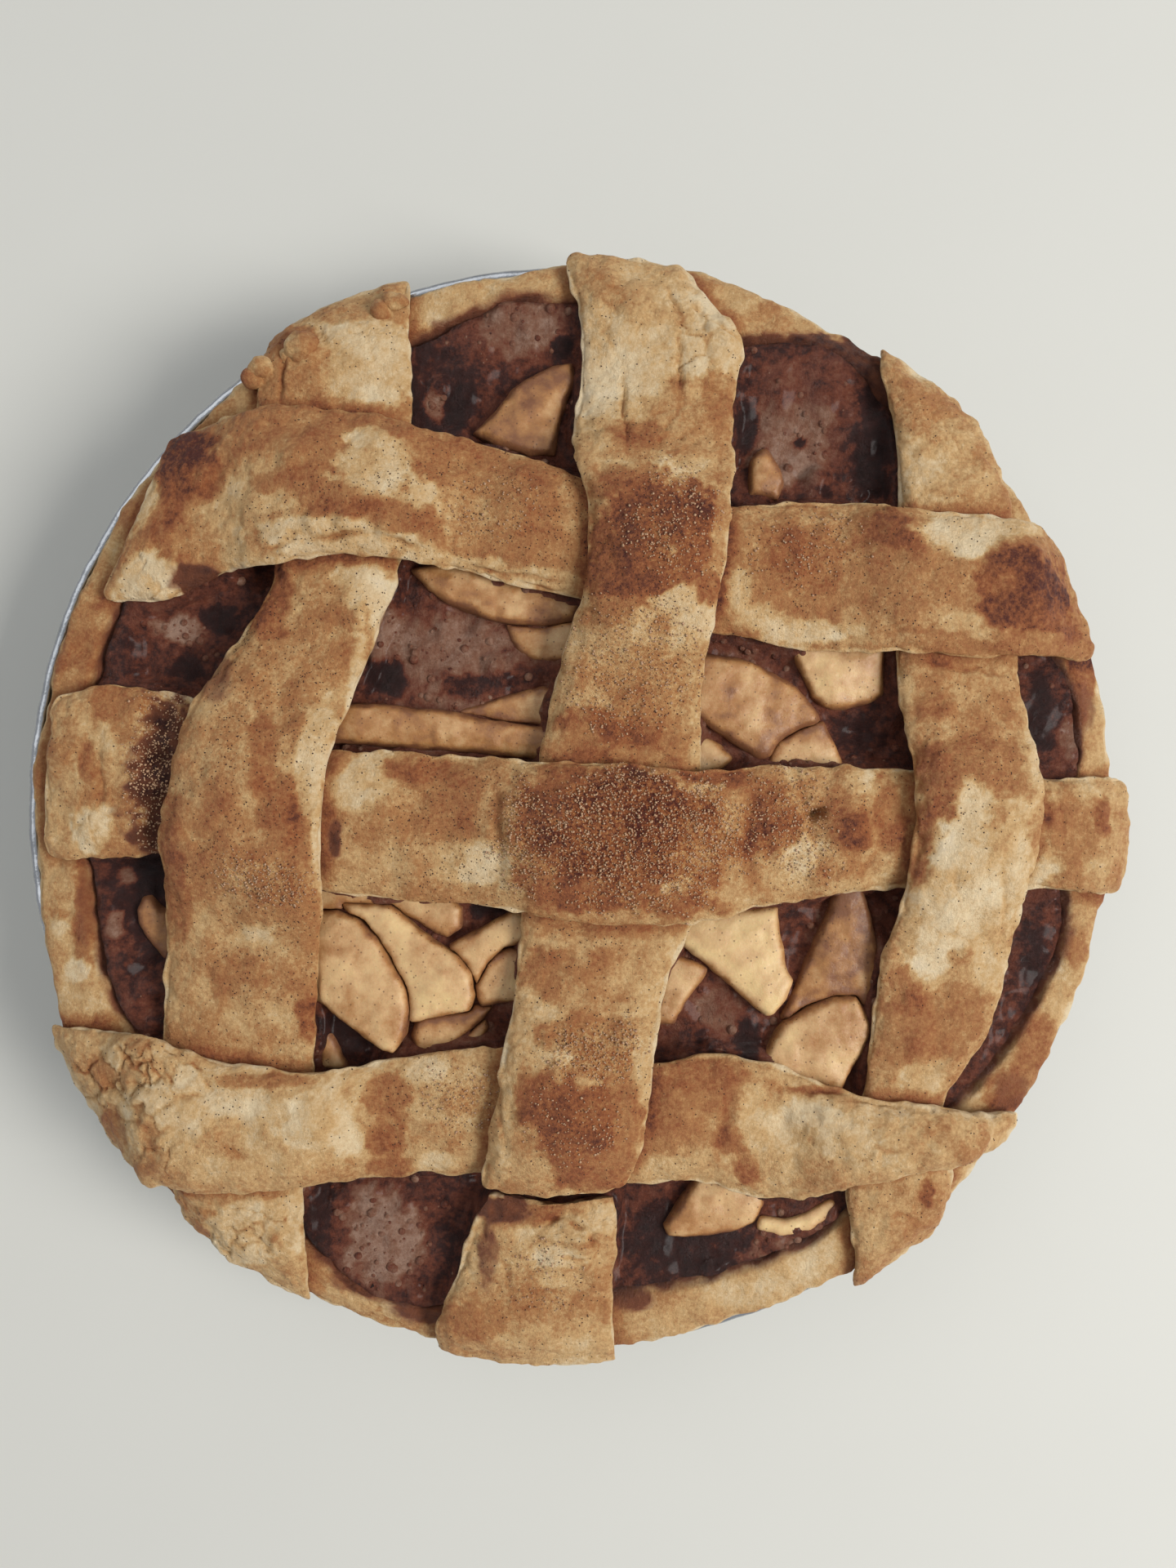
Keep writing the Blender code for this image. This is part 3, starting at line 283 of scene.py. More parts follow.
            (78.9, 69.1, 5, 6, 0.38), (81.8, 63.1, 4, 5, 0.3), (67.1, 81.9, 4, 3, 0.45),
            (75.4, 79.3, 5, 3, 0.5), (70.6, 27.5, 7, 2, 0.35), (72.5, 21.6, 6, 7, 0.5),
            (66.5, 19.6, 2, 9, 0.28), (80.6, 23.7, 8, 4, 0.42), (83.6, 17.8, 6, 4, 0.45),
            (72.5, 14.8, 4, 3, 0.35), (78.5, 9.9, 10, 4, 0.61), (70.4, 8.9, 5, 5, 0.62),
            (86.6, 9.9, 4, 4, 0.55), (82.5, 4.5, 6, 3, 0.55), (91.5, 9.9, 1.5, 8, 0.25),
            (72.4, 0.1, 3, 6, 0.7), (68.4, -7.7, 3, 8, 0.72), (73.4, 5, 5, 3, 0.6), (78.5, 0.1, 4, 5, 0.15),
            (76.5, -9.7, 7, 8, 0.1), (72.5, -19.5, 6, 8, 0.12), (70.6, -29.3, 5, 5, 0.06),
            (78.6, -21.5, 6, 8, 0.1), (85.6, -9.7, 5, 12, 0.15), (82.7, -29.4, 5, 7, 0.2),
            (66.5, -25.3, 2, 6, 0.3), (65.6, -33.2, 3, 3, 0.6), (66.7, -39.1, 5, 6, 0.62),
            (74.7, -39.2, 8, 5, 0.6), (64.8, -47, 5, 6, 0.55), (72.8, -46.1, 7, 4, 0.6),
            (78.7, -43.2, 4, 5, 0.5), (70.9, -53, 5, 3, 0.25), (77.7, -36.3, 4, 2, 0.5),
            (61, -76.6, 5, 5, 0.35), (67, -78.7, 7, 6, 0.42), (61.2, -85.7, 5, 5, 0.38),
            (71, -75.8, 1.5, 3, 0.75), (64.9, -72.6, 6, 2, 0.25),
        ],
        creases=[
            (66.6, 29.4, 90.5, 25.6, 0.8, 0.5), (84.5, -4.8, 85.6, -29.4, 0.5, 0.8),
            (73.2, 79.2, 78.9, 69.1, 0.3, 0.6), (68.9, 63, 78.7, 61, 0.4, 0.5),
            (73.5, -9.7, 76.5, -19.5, 0.4, 0.6), (70.5, -23.4, 80.6, -26.4, 0.35, 0.5),
            (74.5, -5.8, 82.5, -7.8, 0.3, 0.5), (63, -78.6, 71.4, -83.3, 0.4, 0.5),
        ],
        lumps=[(77.5, 7.9, 9, 0.8), (74.5, -23.4, 8, 0.7), (68.8, -45, 8, 0.7), (72.9, 70.9, 8, 0.5)],
        spice=[(76.5, 9.9, 12, 14, 0.5)],
        cracked=[(76, -20, 8, 12, 0.35), (76, 72, 9, 8, 0.3)],
    ),
    "strip_front": Baking(
        tone=0.3,
        patches=[
            (-93.6, -47.2, 4, 3, 0.3), (-86.5, -49.1, 6, 3, 0.15), (-78.6, -51, 8, 4, 0.18),
            (-90.8, -55.2, 4, 5, 0.35), (-89.2, -63.4, 4, 6, 0.55), (-84.6, -56, 5, 5, 0.28),
            (-83.1, -69.2, 4, 3, 0.5), (-73.7, -58.9, 8, 5, 0.25), (-78.7, -63.9, 7, 4, 0.38),
            (-70.7, -66.8, 8, 4, 0.3), (-62.8, -56.9, 6, 5, 0.2), (-64.8, -63.8, 6, 4, 0.42),
            # The second patch on the next line is a painted shadow line along the strip's upper edge.
            (-56.9, -62.8, 6, 4, 0.35), (-58.7, -52.8, 12, 1.5, 0.55), (-46.9, -60.6, 8, 8, 0.09),
            (-43, -64.6, 5, 5, 0.07), (-51, -68.7, 10, 3, 0.25), (-35, -56.5, 4.5, 6, 0.6),
            (-36.1, -64.5, 4, 5, 0.6), (-35.2, -70.5, 5, 2.5, 0.62), (-27.1, -51.5, 5, 3, 0.14),
            (-25.2, -58.4, 3, 6, 0.25), (-20.3, -56.4, 5, 6, 0.45), (-23.3, -64.3, 5, 4, 0.4),
            (-25.3, -69.4, 4, 2, 0.16), (-17.4, -52.4, 3, 4, 0.35), (-15.5, -58.3, 3, 8, 0.4),
            (19.6, -56.4, 4, 5, 0.5), (21.6, -64.3, 6, 5, 0.42), (27.4, -56.4, 6, 4, 0.42),
            (29.4, -62.4, 5, 4, 0.45), (32.4, -66.4, 3, 5, 0.62), (35.4, -71.5, 2.5, 4, 0.65),
            (19.7, -70.3, 5, 2, 0.3), (28.5, -69.4, 4, 2, 0.35), (44.1, -56.6, 6, 4, 0.38),
            (49.1, -60.6, 8, 4, 0.14), (43.2, -66.6, 6, 6, 0.24), (55.1, -66.8, 7, 3, 0.22),
            (65, -62.9, 6, 4, 0.26), (51, -55.2, 10, 1, 0.6), (73.8, -61.8, 5, 4, 0.4),
            # The last patch on the next line is painted shade beside strip_centre.
            (78.8, -64.9, 4, 4, 0.42), (61, -59.8, 6, 2, 0.3), (28, -52, 8, 4, 0.6),
        ],
        creases=[
            (-88.4, -46.1, -84.4, -50, 0.9, 0.45), (-84.4, -50, -78.6, -49.1, 0.8, 0.4),
            (-82.5, -48.1, -80.5, -54, 0.8, 0.4), (-78.6, -49.1, -74.7, -55, 0.7, 0.4),
            (-86.5, -53.1, -78.6, -55, 0.7, 0.4), (-90.7, -54.2, -84.6, -59, 0.7, 0.4),
            (-76.6, -56, -68.8, -55, 0.6, 0.4), (-72.7, -49.1, -66.8, -56, 0.5, 0.4),
            (-89, -61.3, -80.6, -60.9, 0.5, 0.4), (33.2, -52.5, 29.4, -68.4, 0.8, 1.3),
            (37.2, -53.5, 70.9, -58.9, 0.7, 0.6), (-60.7, -53.9, -46.9, -56.6, 0.35, 0.5),
            (-66.8, -64.8, -58.9, -68.8, 0.4, 0.5), (-84.9, -65.2, -76.7, -66.9, 0.5, 0.4),
            (57.1, -64.8, 66.9, -66.8, 0.4, 0.5),
        ],
        lumps=[
            (-80.6, -58.9, 9, 0.8), (51.1, -62.7, 10, 0.9), (21.6, -60.3, 7, 0.7), (-46.9, -62.6, 8, 0.5),
            (-23.3, -58.4, 8, 0.5),
        ],
        sugar=[(-19.4, -56.4, 8, 7, 0.35)],
        spice=[(-29.2, -58.4, 14, 12, 0.5), (-73.7, -56.9, 14, 10, 0.3)],
        cracked=[(-84, -54, 15, 8, 1), (-74, -64, 12, 7, 0.7), (60, -64, 16, 6, 0.4)],
    ),
    "pastry_case": Baking(
        tone=0.34,
        patches=[
            (-105.3, 20.2, 4, 20, 0.4), (-98.1, 32.3, 5, 6, 0.6), (-96, 38.4, 4, 3, 0.45),
            (-101.8, 45.7, 4, 5, 0.4), (-94.2, 50.5, 3, 6, 0.35), (-89.1, 58.6, 3, 6, 0.38),
            (-105.2, -0.1, 3, 10, 0.35), (-103.1, -12.2, 4, 5, 0.3), (-104.3, -25.4, 3, 10, 0.35),
            (-97, -22.3, 2.5, 12, 0.68), (-102.2, -24.3, 2, 2, 0.12), (-99.1, -33.4, 3, 2.5, 0.06),
            (-99.2, -39.5, 6, 3, 0.2), (-20.3, 105.2, 15, 3, 0.26), (-25.3, 98.9, 6, 4, 0.25),
            (-26.3, 93.9, 7, 3, 0.5), (-74.3, 83.3, 5, 4, 0.4), (-10.2, 107.3, 10, 2, 0.3),
            (40.4, 98.1, 6, 4, 0.45), (47.5, 96.1, 5, 3, 0.42), (32.5, 106.7, 6, 3, 0.3),
            (20.2, 108.6, 8, 3, 0.3), (67.9, 86.2, 4, 3, 0.4), (81.3, 76.2, 5, 5, 0.4),
            (93.1, 55.7, 4, 4, 0.3), (105.3, 27.3, 3, 6, 0.72), (102.1, 24.2, 3, 8, 0.7),
            (106.2, 12.1, 2, 6, 0.35), (104.2, -22.3, 3, 8, 0.35), (100.1, -35.5, 4, 8, 0.3),
            (94, -48.6, 4, 8, 0.66), (89, -57.7, 5, 5, 0.72), (102.1, -28.4, 3, 4, 0.5),
            (30.3, -99.1, 14, 4, 0.26), (45.4, -94.1, 8, 4, 0.25), (18.1, -101.1, 6, 4, 0.35),
            (10.1, -105.3, 8, 3, 0.3), (50.5, -88.9, 6, 3, 0.22), (35.4, -102.3, 8, 2, 0.4),
            (-36.6, -103.6, 8, 3, 0.4), (-48.8, -99.6, 5, 3, 0.3), (-45.5, -94.1, 3, 4, 0.45),
            (-63.2, -93.8, 6, 3, 0.4), (-81.8, -79.7, 4, 3, 0.4),
        ],
        creases=[
            (-104.3, -20.3, -99, -22.3, 0.7, 0.5), (-105.2, 8, -100, 10.1, 0.6, 0.5),
            (-102.2, -24.3, -96.9, -27.3, 0.8, 0.45), (20.3, 109.8, 22.2, 101, 0.4, 0.5),
            (89.5, 67.1, 95.8, 61.1, 0.5, 0.5), (-30.7, -110.5, -28.3, -99.1, 0.5, 0.6),
            (60.7, -89.2, 66.7, -80.9, 0.5, 0.5), (-101.8, 45.7, -95.1, 44.4, 0.5, 0.45),
            (-101.2, 33.3, -94.9, 30.2, 0.5, 0.45), (105.2, 10.1, 99.9, 8, 0.4, 0.45),
            (-18.4, 109.7, -16.2, 102, 0.4, 0.45),
        ],
        lumps=[
            (-105.2, -5.1, 5, 0.5), (35.5, 104.5, 6, 0.5), (20.2, -107.6, 6, 0.5), (96.5, 55.9, 5, 0.5),
            (-24.4, 106.4, 5, 0.4), (40.4, -99.3, 6, 0.5), (102.2, -30.4, 4, 0.5),
        ],
        stains=[
            (50.5, 93, 10, 3, 1), (57.8, 93.3, 4, 3, 1), (43.4, 92.9, 5, 2, 0.8), (61.7, 88, 2, 4, 0.9),
            (98.9, 22.2, 3, 8, 0.6), (104.2, 20.2, 2, 6, 0.4), (89, -57.7, 4, 4, 0.35),
            (97.9, -25.3, 4, 6, 0.5), (13.1, -99, 4, 2, 0.6), (-30.4, -101.2, 6, 3, 0.7),
            (-44.5, -94.1, 3, 4, 0.5), (-97, -20.2, 2, 10, 0.35), (-22.3, 96.9, 5, 1.5, 0.5),
            (47, 92, 11, 4, 1.0), (58, 90, 6, 5, 1.0), (64, 84, 4, 8, 0.9),
        ],
        spice=[(0, 0, 115, 115, 0.25)],
        cracked=[
            (-40, -99, 16, 8, 0.6), (-97, -34, 6, 10, 0.5), (96, 45, 8, 12, 0.4), (30, -99, 16, 6, 0.3),
        ],
    ),
}

STRIPS = [name for name in BAKING if name != "pastry_case"]

# How far out the syrup reaches, by angle in degrees. It boiled up over the rim in most of the gaps.
SYRUP_OUTLINE = [
    (-8, 99.5), (-2, 97.5), (4, 103.0), (14, 104.0), (20, 101.0), (27, 97.0), (44, 97.0), (51, 102.5),
    (56, 106.0), (61, 106.4), (65, 103.5), (70, 98.0), (82, 98.0), (88, 101.2), (97, 102.8), (101, 100.5),
    (106, 98.0), (118, 96.5), (150, 98.5), (166, 97.5), (190, 96.4), (203, 98.6), (214, 96.5), (236, 98.5),
    (242, 103.5), (248, 106.4), (254, 105.0), (261, 98.5), (270, 97.0), (284, 97.8), (300, 99.2),
    (312, 96.5), (324, 98.0), (334, 100.8), (346, 103.0), (352, 99.5), (358, 97.5),
]

# How far each fruit slice has browned, from 0, pale cream, to 1, syrup-soaked brown.
FRUIT_TONES = {
    "slice_back_gap": 0.83,
    "slice_back_right_gap": 0.66,
    "slice_inner_left_high": 0.6,
    "slice_inner_left_side": 0.66,
    "slice_inner_left_bar": 0.62,
    "slice_inner_left_low": 0.62,
    "slice_inner_right_large": 0.66,
    "slice_inner_right_pale": 0.42,
    "slice_inner_right_under": 0.5,
    "slice_inner_right_chip": 0.45,
    "slice_left_edge": 0.75,
    "slice_front_left_large": 0.46,
    "slice_front_left_second": 0.32,
    "slice_front_left_third": 0.46,
    "slice_front_left_side": 0.3,
    "slice_front_left_sunk": 0.65,
    "slice_front_left_chip": 0.3,
    "slice_front_left_sliver": 0.6,
    "slice_front_left_back": 0.42,
    "slice_front_right_pale": 0.2,
    "slice_front_right_tall": 0.88,
    "slice_front_right_round": 0.4,
    "slice_front_right_side": 0.4,
    "slice_front_gap_large": 0.58,
    "slice_front_gap_pale": 0.08,
}

# How the syrup set in the gaps, as rows of x, y, half width, half depth and tone: 0 is clear and almost
# black, 0.5 is red-brown and 1 is pale foam.
SYRUP_TONES = [
    (34, -89, 15, 3, 0.7), (-34, 33, 7, 6, 0.85), (-26, 84, 8, 10, 0.12), (-24, 30, 16, 9, 0.76),
    (-86, -18, 7, 13, 0.2), (-9.2, 97.1, 8, 6, 0.8), (-26.4, 81.9, 2.5, 4, 0.85), (-22.3, 80.9, 3, 4, 0.05),
    (-27.4, 89, 6, 5, 0.25), (-1.1, 93.1, 2.5, 2, 0), (45.5, 74, 10, 10, 0.82), (47.5, 87, 11, 5, 0.5),
    (47.3, 73.8, 1.2, 1.2, 0.1), (52.6, 63.7, 1.5, 1.5, 0.1), (61.7, 72.8, 4, 12, 0.05),
    (36.4, 76.9, 2.5, 5, 0.1), (-77.5, 35.9, 4, 3, 0.95), (-83.1, 36.4, 1.5, 1.5, 0.7),
    (-70.9, 38.4, 4, 3, 0.05), (-77, 28.3, 4, 3, 0.15), (-24.3, 31.3, 14, 6, 0.78), (-36, 25.8, 4.5, 3.5, 0),
    (-15.2, 24.2, 10, 3, 0.3), (58.7, 14.1, 7, 5, 0.25), (95.1, 18.2, 3, 9, 0.12),
    (101.2, 14.1, 2.5, 4, 0.75), (-85.1, -15.2, 4, 5, 0), (-89.1, -14.2, 2, 2, 0.7),
    (-91.2, -23.8, 2, 3, 0.8), (-16.2, -20.8, 4, 2, 0), (-44.6, -44.6, 6, 6, 0.15), (46.5, -27.4, 6, 6, 0.4),
    (30.3, -40.6, 5, 6, 0.62), (36.4, -46.6, 2.5, 4, 0), (94.1, -28.4, 3, 8, 0.2),
    (-37.5, -87.1, 8, 11, 0.9), (-49.7, -85.1, 3, 10, 0.2), (-22.3, -87.1, 5, 9, 0.3),
    (25.3, -87.1, 14, 8, 0.15),
]
SYRUP_BASE_TONE = 0.4

# The syrup's skin is cut from a grid. Its edge hangs a little below the skin, and the rings under it, as
# radius and height, lie inside the bottom crust.
SYRUP_CELLS = 270
SYRUP_HALF_WIDTH = 106.6
SYRUP_SKIN = 40.0
SYRUP_EDGE = 36.1
SYRUP_RINGS = [(94.6, 36.0), (94.2, 33.0), (80.6, 7.2), (79.0, 5.6)]

# Domes in the syrup's skin, and bubbles that stand on it.
DOME_COUNT = 520
DOME_RADIUS_LOW = 0.9
DOME_RADIUS_SPREAD = 2.0
BUBBLE_COUNT = 1500
BUBBLE_RADIUS_LOW = 0.2
BUBBLE_RADIUS_HIGH = 1.1

# Grains on the lattice, each side of a grain between two sizes. One sugar crystal in four is a larger one,
# and the spice lies in flakes that are longer than they are thick.
SUGAR_COUNT = 6500
SUGAR_SIDE = (0.13, 0.28)
SUGAR_GROWTH = (1, 1, 1, 1.6)
SPICE_COUNT = 6500
SPICE_SIDE = (0.14, 0.34)
SPICE_FLAKE = (1.3, 1.0, 0.5)

# Knobs of spare dough on the rim, as rows of x, y, height of the middle and radius.
KNOBS = [
    (-52.5, 90.8, 42.8, 3.2), (-54.8, 89.6, 41.6, 2.2), (-51.6, 89.4, 39.4, 3.4), (-60.4, 87.6, 41.6, 2.4),
    (-62.0, 85.6, 40.6, 2.1), (-59.6, 86.0, 39.0, 3.0), (-34.0, 100.4, 41.6, 2.2), (-36.8, 98.8, 41.2, 2.0),
    (-34.6, 98.8, 39.4, 2.8),
]

# The tin's floor and wall, as radius and height, then its flange and rolled bead, as how far each point lies
# in from the bead's outside and how far below its top.
TIN_WALL = [
    (0, 0), (40, 0), (80, 0), (84.4, 0), (85.6, 0.35), (86.1, 1.3), (89.5, 7), (94.5, 16), (99.5, 25),
]
TIN_RIM = [
    (8.0, 2.6), (7.5, 2.2), (4, 2.1), (2.2, 2.3), (0.8, 2.0), (0.1, 1.1), (0.5, 0.3), (1.3, 0), (2.2, 0.5),
    (2.7, 1.3),
]
TIN_FOIL = 0.25
TIN_FLUTES = 36
TIN_STEPS_PER_FLUTE = 12
TIN_FLUTE_DEPTH = 0.8
TIN_FLUTE_SHARPNESS = 0.6

# The bottom crust is cut finer along its rim, which lies further out and higher than this.
RIM_FROM_RADIUS = 92
RIM_FROM_HEIGHT = 31

# Where the random numbers of each kind of piece start.
SEED = 20
FOIL_SEED = 3
CASE_SEED = 5
FIRST_STRIP_SEED = 40
STRIP_SEED_STEP = 20
SYRUP_SEED = 61
KNOB_SEED = 90
FIRST_FRUIT_SEED = 200
FRUIT_SEED_STEP = 7


def shade(red, green, blue):
    """A colour given as 0 to 255 screen values, as the linear values that shaders take."""
    values = [channel / 255 for channel in (red, green, blue)]
    return tuple(v / 12.92 if v <= 0.04045 else ((v + 0.055) / 1.055) ** 2.4 for v in values)


def dimmed(colour, share):
    return tuple(channel * share for channel in colour)


def picked_colour(name, description, red, green, blue):
    """A colour that a user would change, with its default as 0 to 255 screen values."""
    return FloatVectorProperty(
        name=name, description=description, subtype="COLOR", default=shade(red, green, blue)
    )


def smooth_step(low, high, value):
    share = np.clip((value - low) / (high - low), 0, 1)
    return share * share * (3 - 2 * share)


# What each of a cell's three counts, and then their mix, is multiplied by to make a random number of them.
CELL_FACTORS = (73856093, 19349663, 83492791)
MIX_FACTOR = 1274126177


def noise_field(points, size, seed):
    """Smooth random values from -1 to 1 at every point, in lumps of this size."""
    place = points / size + seed * 17.31
    cell = np.floor(place).astype(np.int64)
    part = place - cell
    part = part * part * (3 - 2 * part)
    total = np.zeros(len(points))
    for corner in itertools.product((0, 1), repeat=3):
        at = cell + corner
        mixed = np.bitwise_xor.reduce(at * CELL_FACTORS, axis=1)
        mixed = (mixed ^ (mixed >> 13)) * MIX_FACTOR
        value = ((mixed ^ (mixed >> 16)) & 0xFFFF) / 32767.5 - 1
        weight = np.prod(np.where(corner, part, 1 - part), axis=1)
        total += weight * value
    return total


def layered_noise(points, seed, *layers):
    """The sum of one noise field for each layer, which is given as its height and the size of its lumps."""
    fields = [noise_field(points, size, seed + number) for number, (height, size) in enumerate(layers)]
    return sum(height * field for (height, size), field in zip(layers, fields))


def bed_height(points):
    radii, heights = zip(*BED_PROFILE)
    return np.interp(np.hypot(points[:, 0], points[:, 1]), radii, heights)


def rows_of(items, name, width=1, kind=np.float32):
    """What a mesh holds under this name for each of its vertices or triangles, one row for each."""
    flat = np.empty(len(items) * width, kind)
    items.foreach_get(name, flat)
    return flat.reshape(-1, width)


def points_of(mesh):
    """The mesh's vertices as rows of x, y and z in millimetres."""
    return rows_of(mesh.vertices, "co", 3).astype(float) / MM


def normals_of(mesh):
    return rows_of(mesh.vertices, "normal", 3).astype(float)


def move_points(mesh, points):
    mesh.vertices.foreach_set("co", (points * MM).astype(np.float32).ravel())
    mesh.update()


def paint(mesh, name, values):
    """Stores one value at each vertex, for the materials to read."""
    layer = mesh.attributes.new(name, "FLOAT", "POINT")
    layer.data.foreach_set("value", np.clip(values, 0, 1).astype(np.float32))


def painted_over(points, tone, patches, seed):
    """The tone at each point once each patch, with its ragged edge, is painted over the last."""
    wander = layered_noise(points, seed, (0.24, 6.0), (0.26, 2.3), (0.22, 0.95))
    total = np.full(len(points), float(tone))
    for x, y, half_width, half_depth, target in patches:
        away = np.hypot((points[:, 0] - x) / half_width, (points[:, 1] - y) / half_depth)
        share = 1 - smooth_step(0.65, 1.2, away + wander)
        total += share * (target - total)
    return total


def crease_depth(points, creases, seed):
    """How deep the creases are at each point. Each is deepest half way along and wanders a little."""
    total = np.zeros(len(points))
    wander = layered_noise(points, seed, (0.6, 3.0), (0.35, 1.2))
    for x0, y0, x1, y1, depth, width in creases:
        length = math.hypot(x1 - x0, y1 - y0)
        along = ((points[:, 0] - x0) * (x1 - x0) + (points[:, 1] - y0) * (y1 - y0)) / length
        side = ((points[:, 0] - x0) * (y1 - y0) - (points[:, 1] - y0) * (x1 - x0)) / length
        beyond = np.maximum(0, np.maximum(-along, along - length))
        away = np.hypot(side + wander, beyond)
        swell = np.sin(math.pi * np.clip(along / length, 0.1, 0.9))
        total = np.maximum(total, depth * swell * np.exp(-((away / width) ** 2)))
    return total


def plates(points, size, seed):
    """The height of each cracked plate, from -1 to 1, and how far each point is into a crack, from 0 to 1."""
    warp = np.stack([noise_field(points, 3.0, seed), noise_field(points, 3.0, seed + 1)], axis=1)
    place = points[:, :2] / size + 0.28 * warp + 0.1 * noise_field(points, 1.2, seed + 2)[:, None]
    cell = np.floor(place)
    first, second, height = (np.full(len(points), value) for value in (9.0, 9.0, 0.0))
    for shift in itertools.product((-1, 0, 1), repeat=2):
        at = cell + shift
        # A large number whose decimals differ from cell to cell.
        mixed = np.sin(at[:, 0] * 127.1 + at[:, 1] * 311.7 + seed) * 43758.5453
        middle = at + np.stack([mixed % 1, (mixed * 7.13) % 1], axis=1)
        away = np.hypot(*(place - middle).T)
        nearer = away < first
        second = np.where(nearer, first, np.minimum(second, away))
        height = np.where(nearer, 2 * ((mixed * 3.71) % 1) - 1, height)
        first = np.minimum(first, away)
    return height, 1 - smooth_step(0.0, 0.13, second - first)


def lump_height(points, lumps, seed):
    total = np.zeros(len(points))
    wander = 0.2 * noise_field(points, 3.0, seed)
    for x, y, radius, height in lumps:
        away = np.hypot(points[:, 0] - x, points[:, 1] - y) / radius + wander
        total += height * (1 - smooth_step(0.0, 1.0, away))
    return total


def gaps_to(points, nodes, reach):
    """How far each point is from the nearest of these CAD nodes, up to this reach."""
    mesh = bmesh.new()
    for name in nodes:
        mesh.from_mesh(frame["nodes"][name].data)
    tree = BVHTree.FromBMesh(mesh)
    mesh.free()
    found = [tree.find_nearest(Vector(point), reach * MM)[3] for point in points * MM]
    return np.array([reach if gap is None else gap / MM for gap in found])


def cad_copy(node):
    """A copy of a CAD node's mesh, merged and made of quads again where its triangles pair up."""
    mesh = bmesh.new()
    mesh.from_mesh(frame["nodes"][node].data)
    bmesh.ops.remove_doubles(mesh, verts=mesh.verts, dist=0.02 * MM)
    limit = math.radians(50)
    bmesh.ops.join_triangles(
        mesh, faces=mesh.faces, angle_face_threshold=limit, angle_shape_threshold=limit
    )
    return mesh


def put_in_scene(name, data):
    made = bpy.data.objects.new(name, data)
    bpy.context.scene.collection.objects.link(made)
    return made


def new_object(name, mesh):
    data = bpy.data.meshes.new(name)
    mesh.to_mesh(data)
    mesh.free()
    return put_in_scene(name, data)


def apply_modifiers(made):
    """Turns the object's modifiers into its mesh."""
    graph = bpy.context.evaluated_depsgraph_get()
    graph.update()
    data = bpy.data.meshes.new_from_object(made.evaluated_get(graph))
    made.modifiers.clear()
    old = made.data
    made.data = data
    bpy.data.meshes.remove(old)
    made.data.name = made.name


def subdivide(made, levels):
    smooth = made.modifiers.new("subdivide", "SUBSURF")
    smooth.levels = levels
    smooth.render_levels = levels
    apply_modifiers(made)


def remesh(made, cell, smoothing):
    """Rebuilds the object's mesh of even cells, and softens it."""
    even = made.modifiers.new("remesh", "REMESH")
    even.mode = "VOXEL"
    even.voxel_size = cell * MM
    soften = made.modifiers.new("soften", "SMOOTH")
    soften.factor = 0.5
    soften.iterations = smoothing
    apply_modifiers(made)


def finish_piece(made, material, replaced=()):
    made.data.materials.clear()
    made.data.materials.append(material)
    made.data.shade_smooth()
    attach(made, "root")
    if replaced:
        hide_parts(*replaced)


def scattered(name, shape, places, sizes, normals, rng):
    """One mesh of many small copies of a shape, each turned at random and laid along its normal."""
    base = np.array([point.co for point in shape.verts])
    faces = np.array([[point.index for point in face.verts] for face in shape.faces])
    shape.free()
    spin = rng.uniform(0, math.tau, len(places))
    across = np.cross(normals, np.stack([np.cos(spin), np.sin(spin), 0 * spin], axis=1))
    across /= np.linalg.norm(across, axis=1)[:, None]
    along = np.cross(normals, across)
    turned = (
        base[None, :, 0, None] * across[:, None, :] * sizes[:, None, None, 0]
        + base[None, :, 1, None] * along[:, None, :] * sizes[:, None, None, 1]
        + base[None, :, 2, None] * normals[:, None, :] * sizes[:, None, None, 2]
    )
    points = (turned + places[:, None, :]).reshape(-1, 3) * MM
    index = (faces[None] + (np.arange(len(places)) * len(base))[:, None, None]).reshape(-1, faces.shape[1])
    data = bpy.data.meshes.new(name)
    data.from_pydata(points.tolist(), [], index.tolist())
    return put_in_scene(name, data)


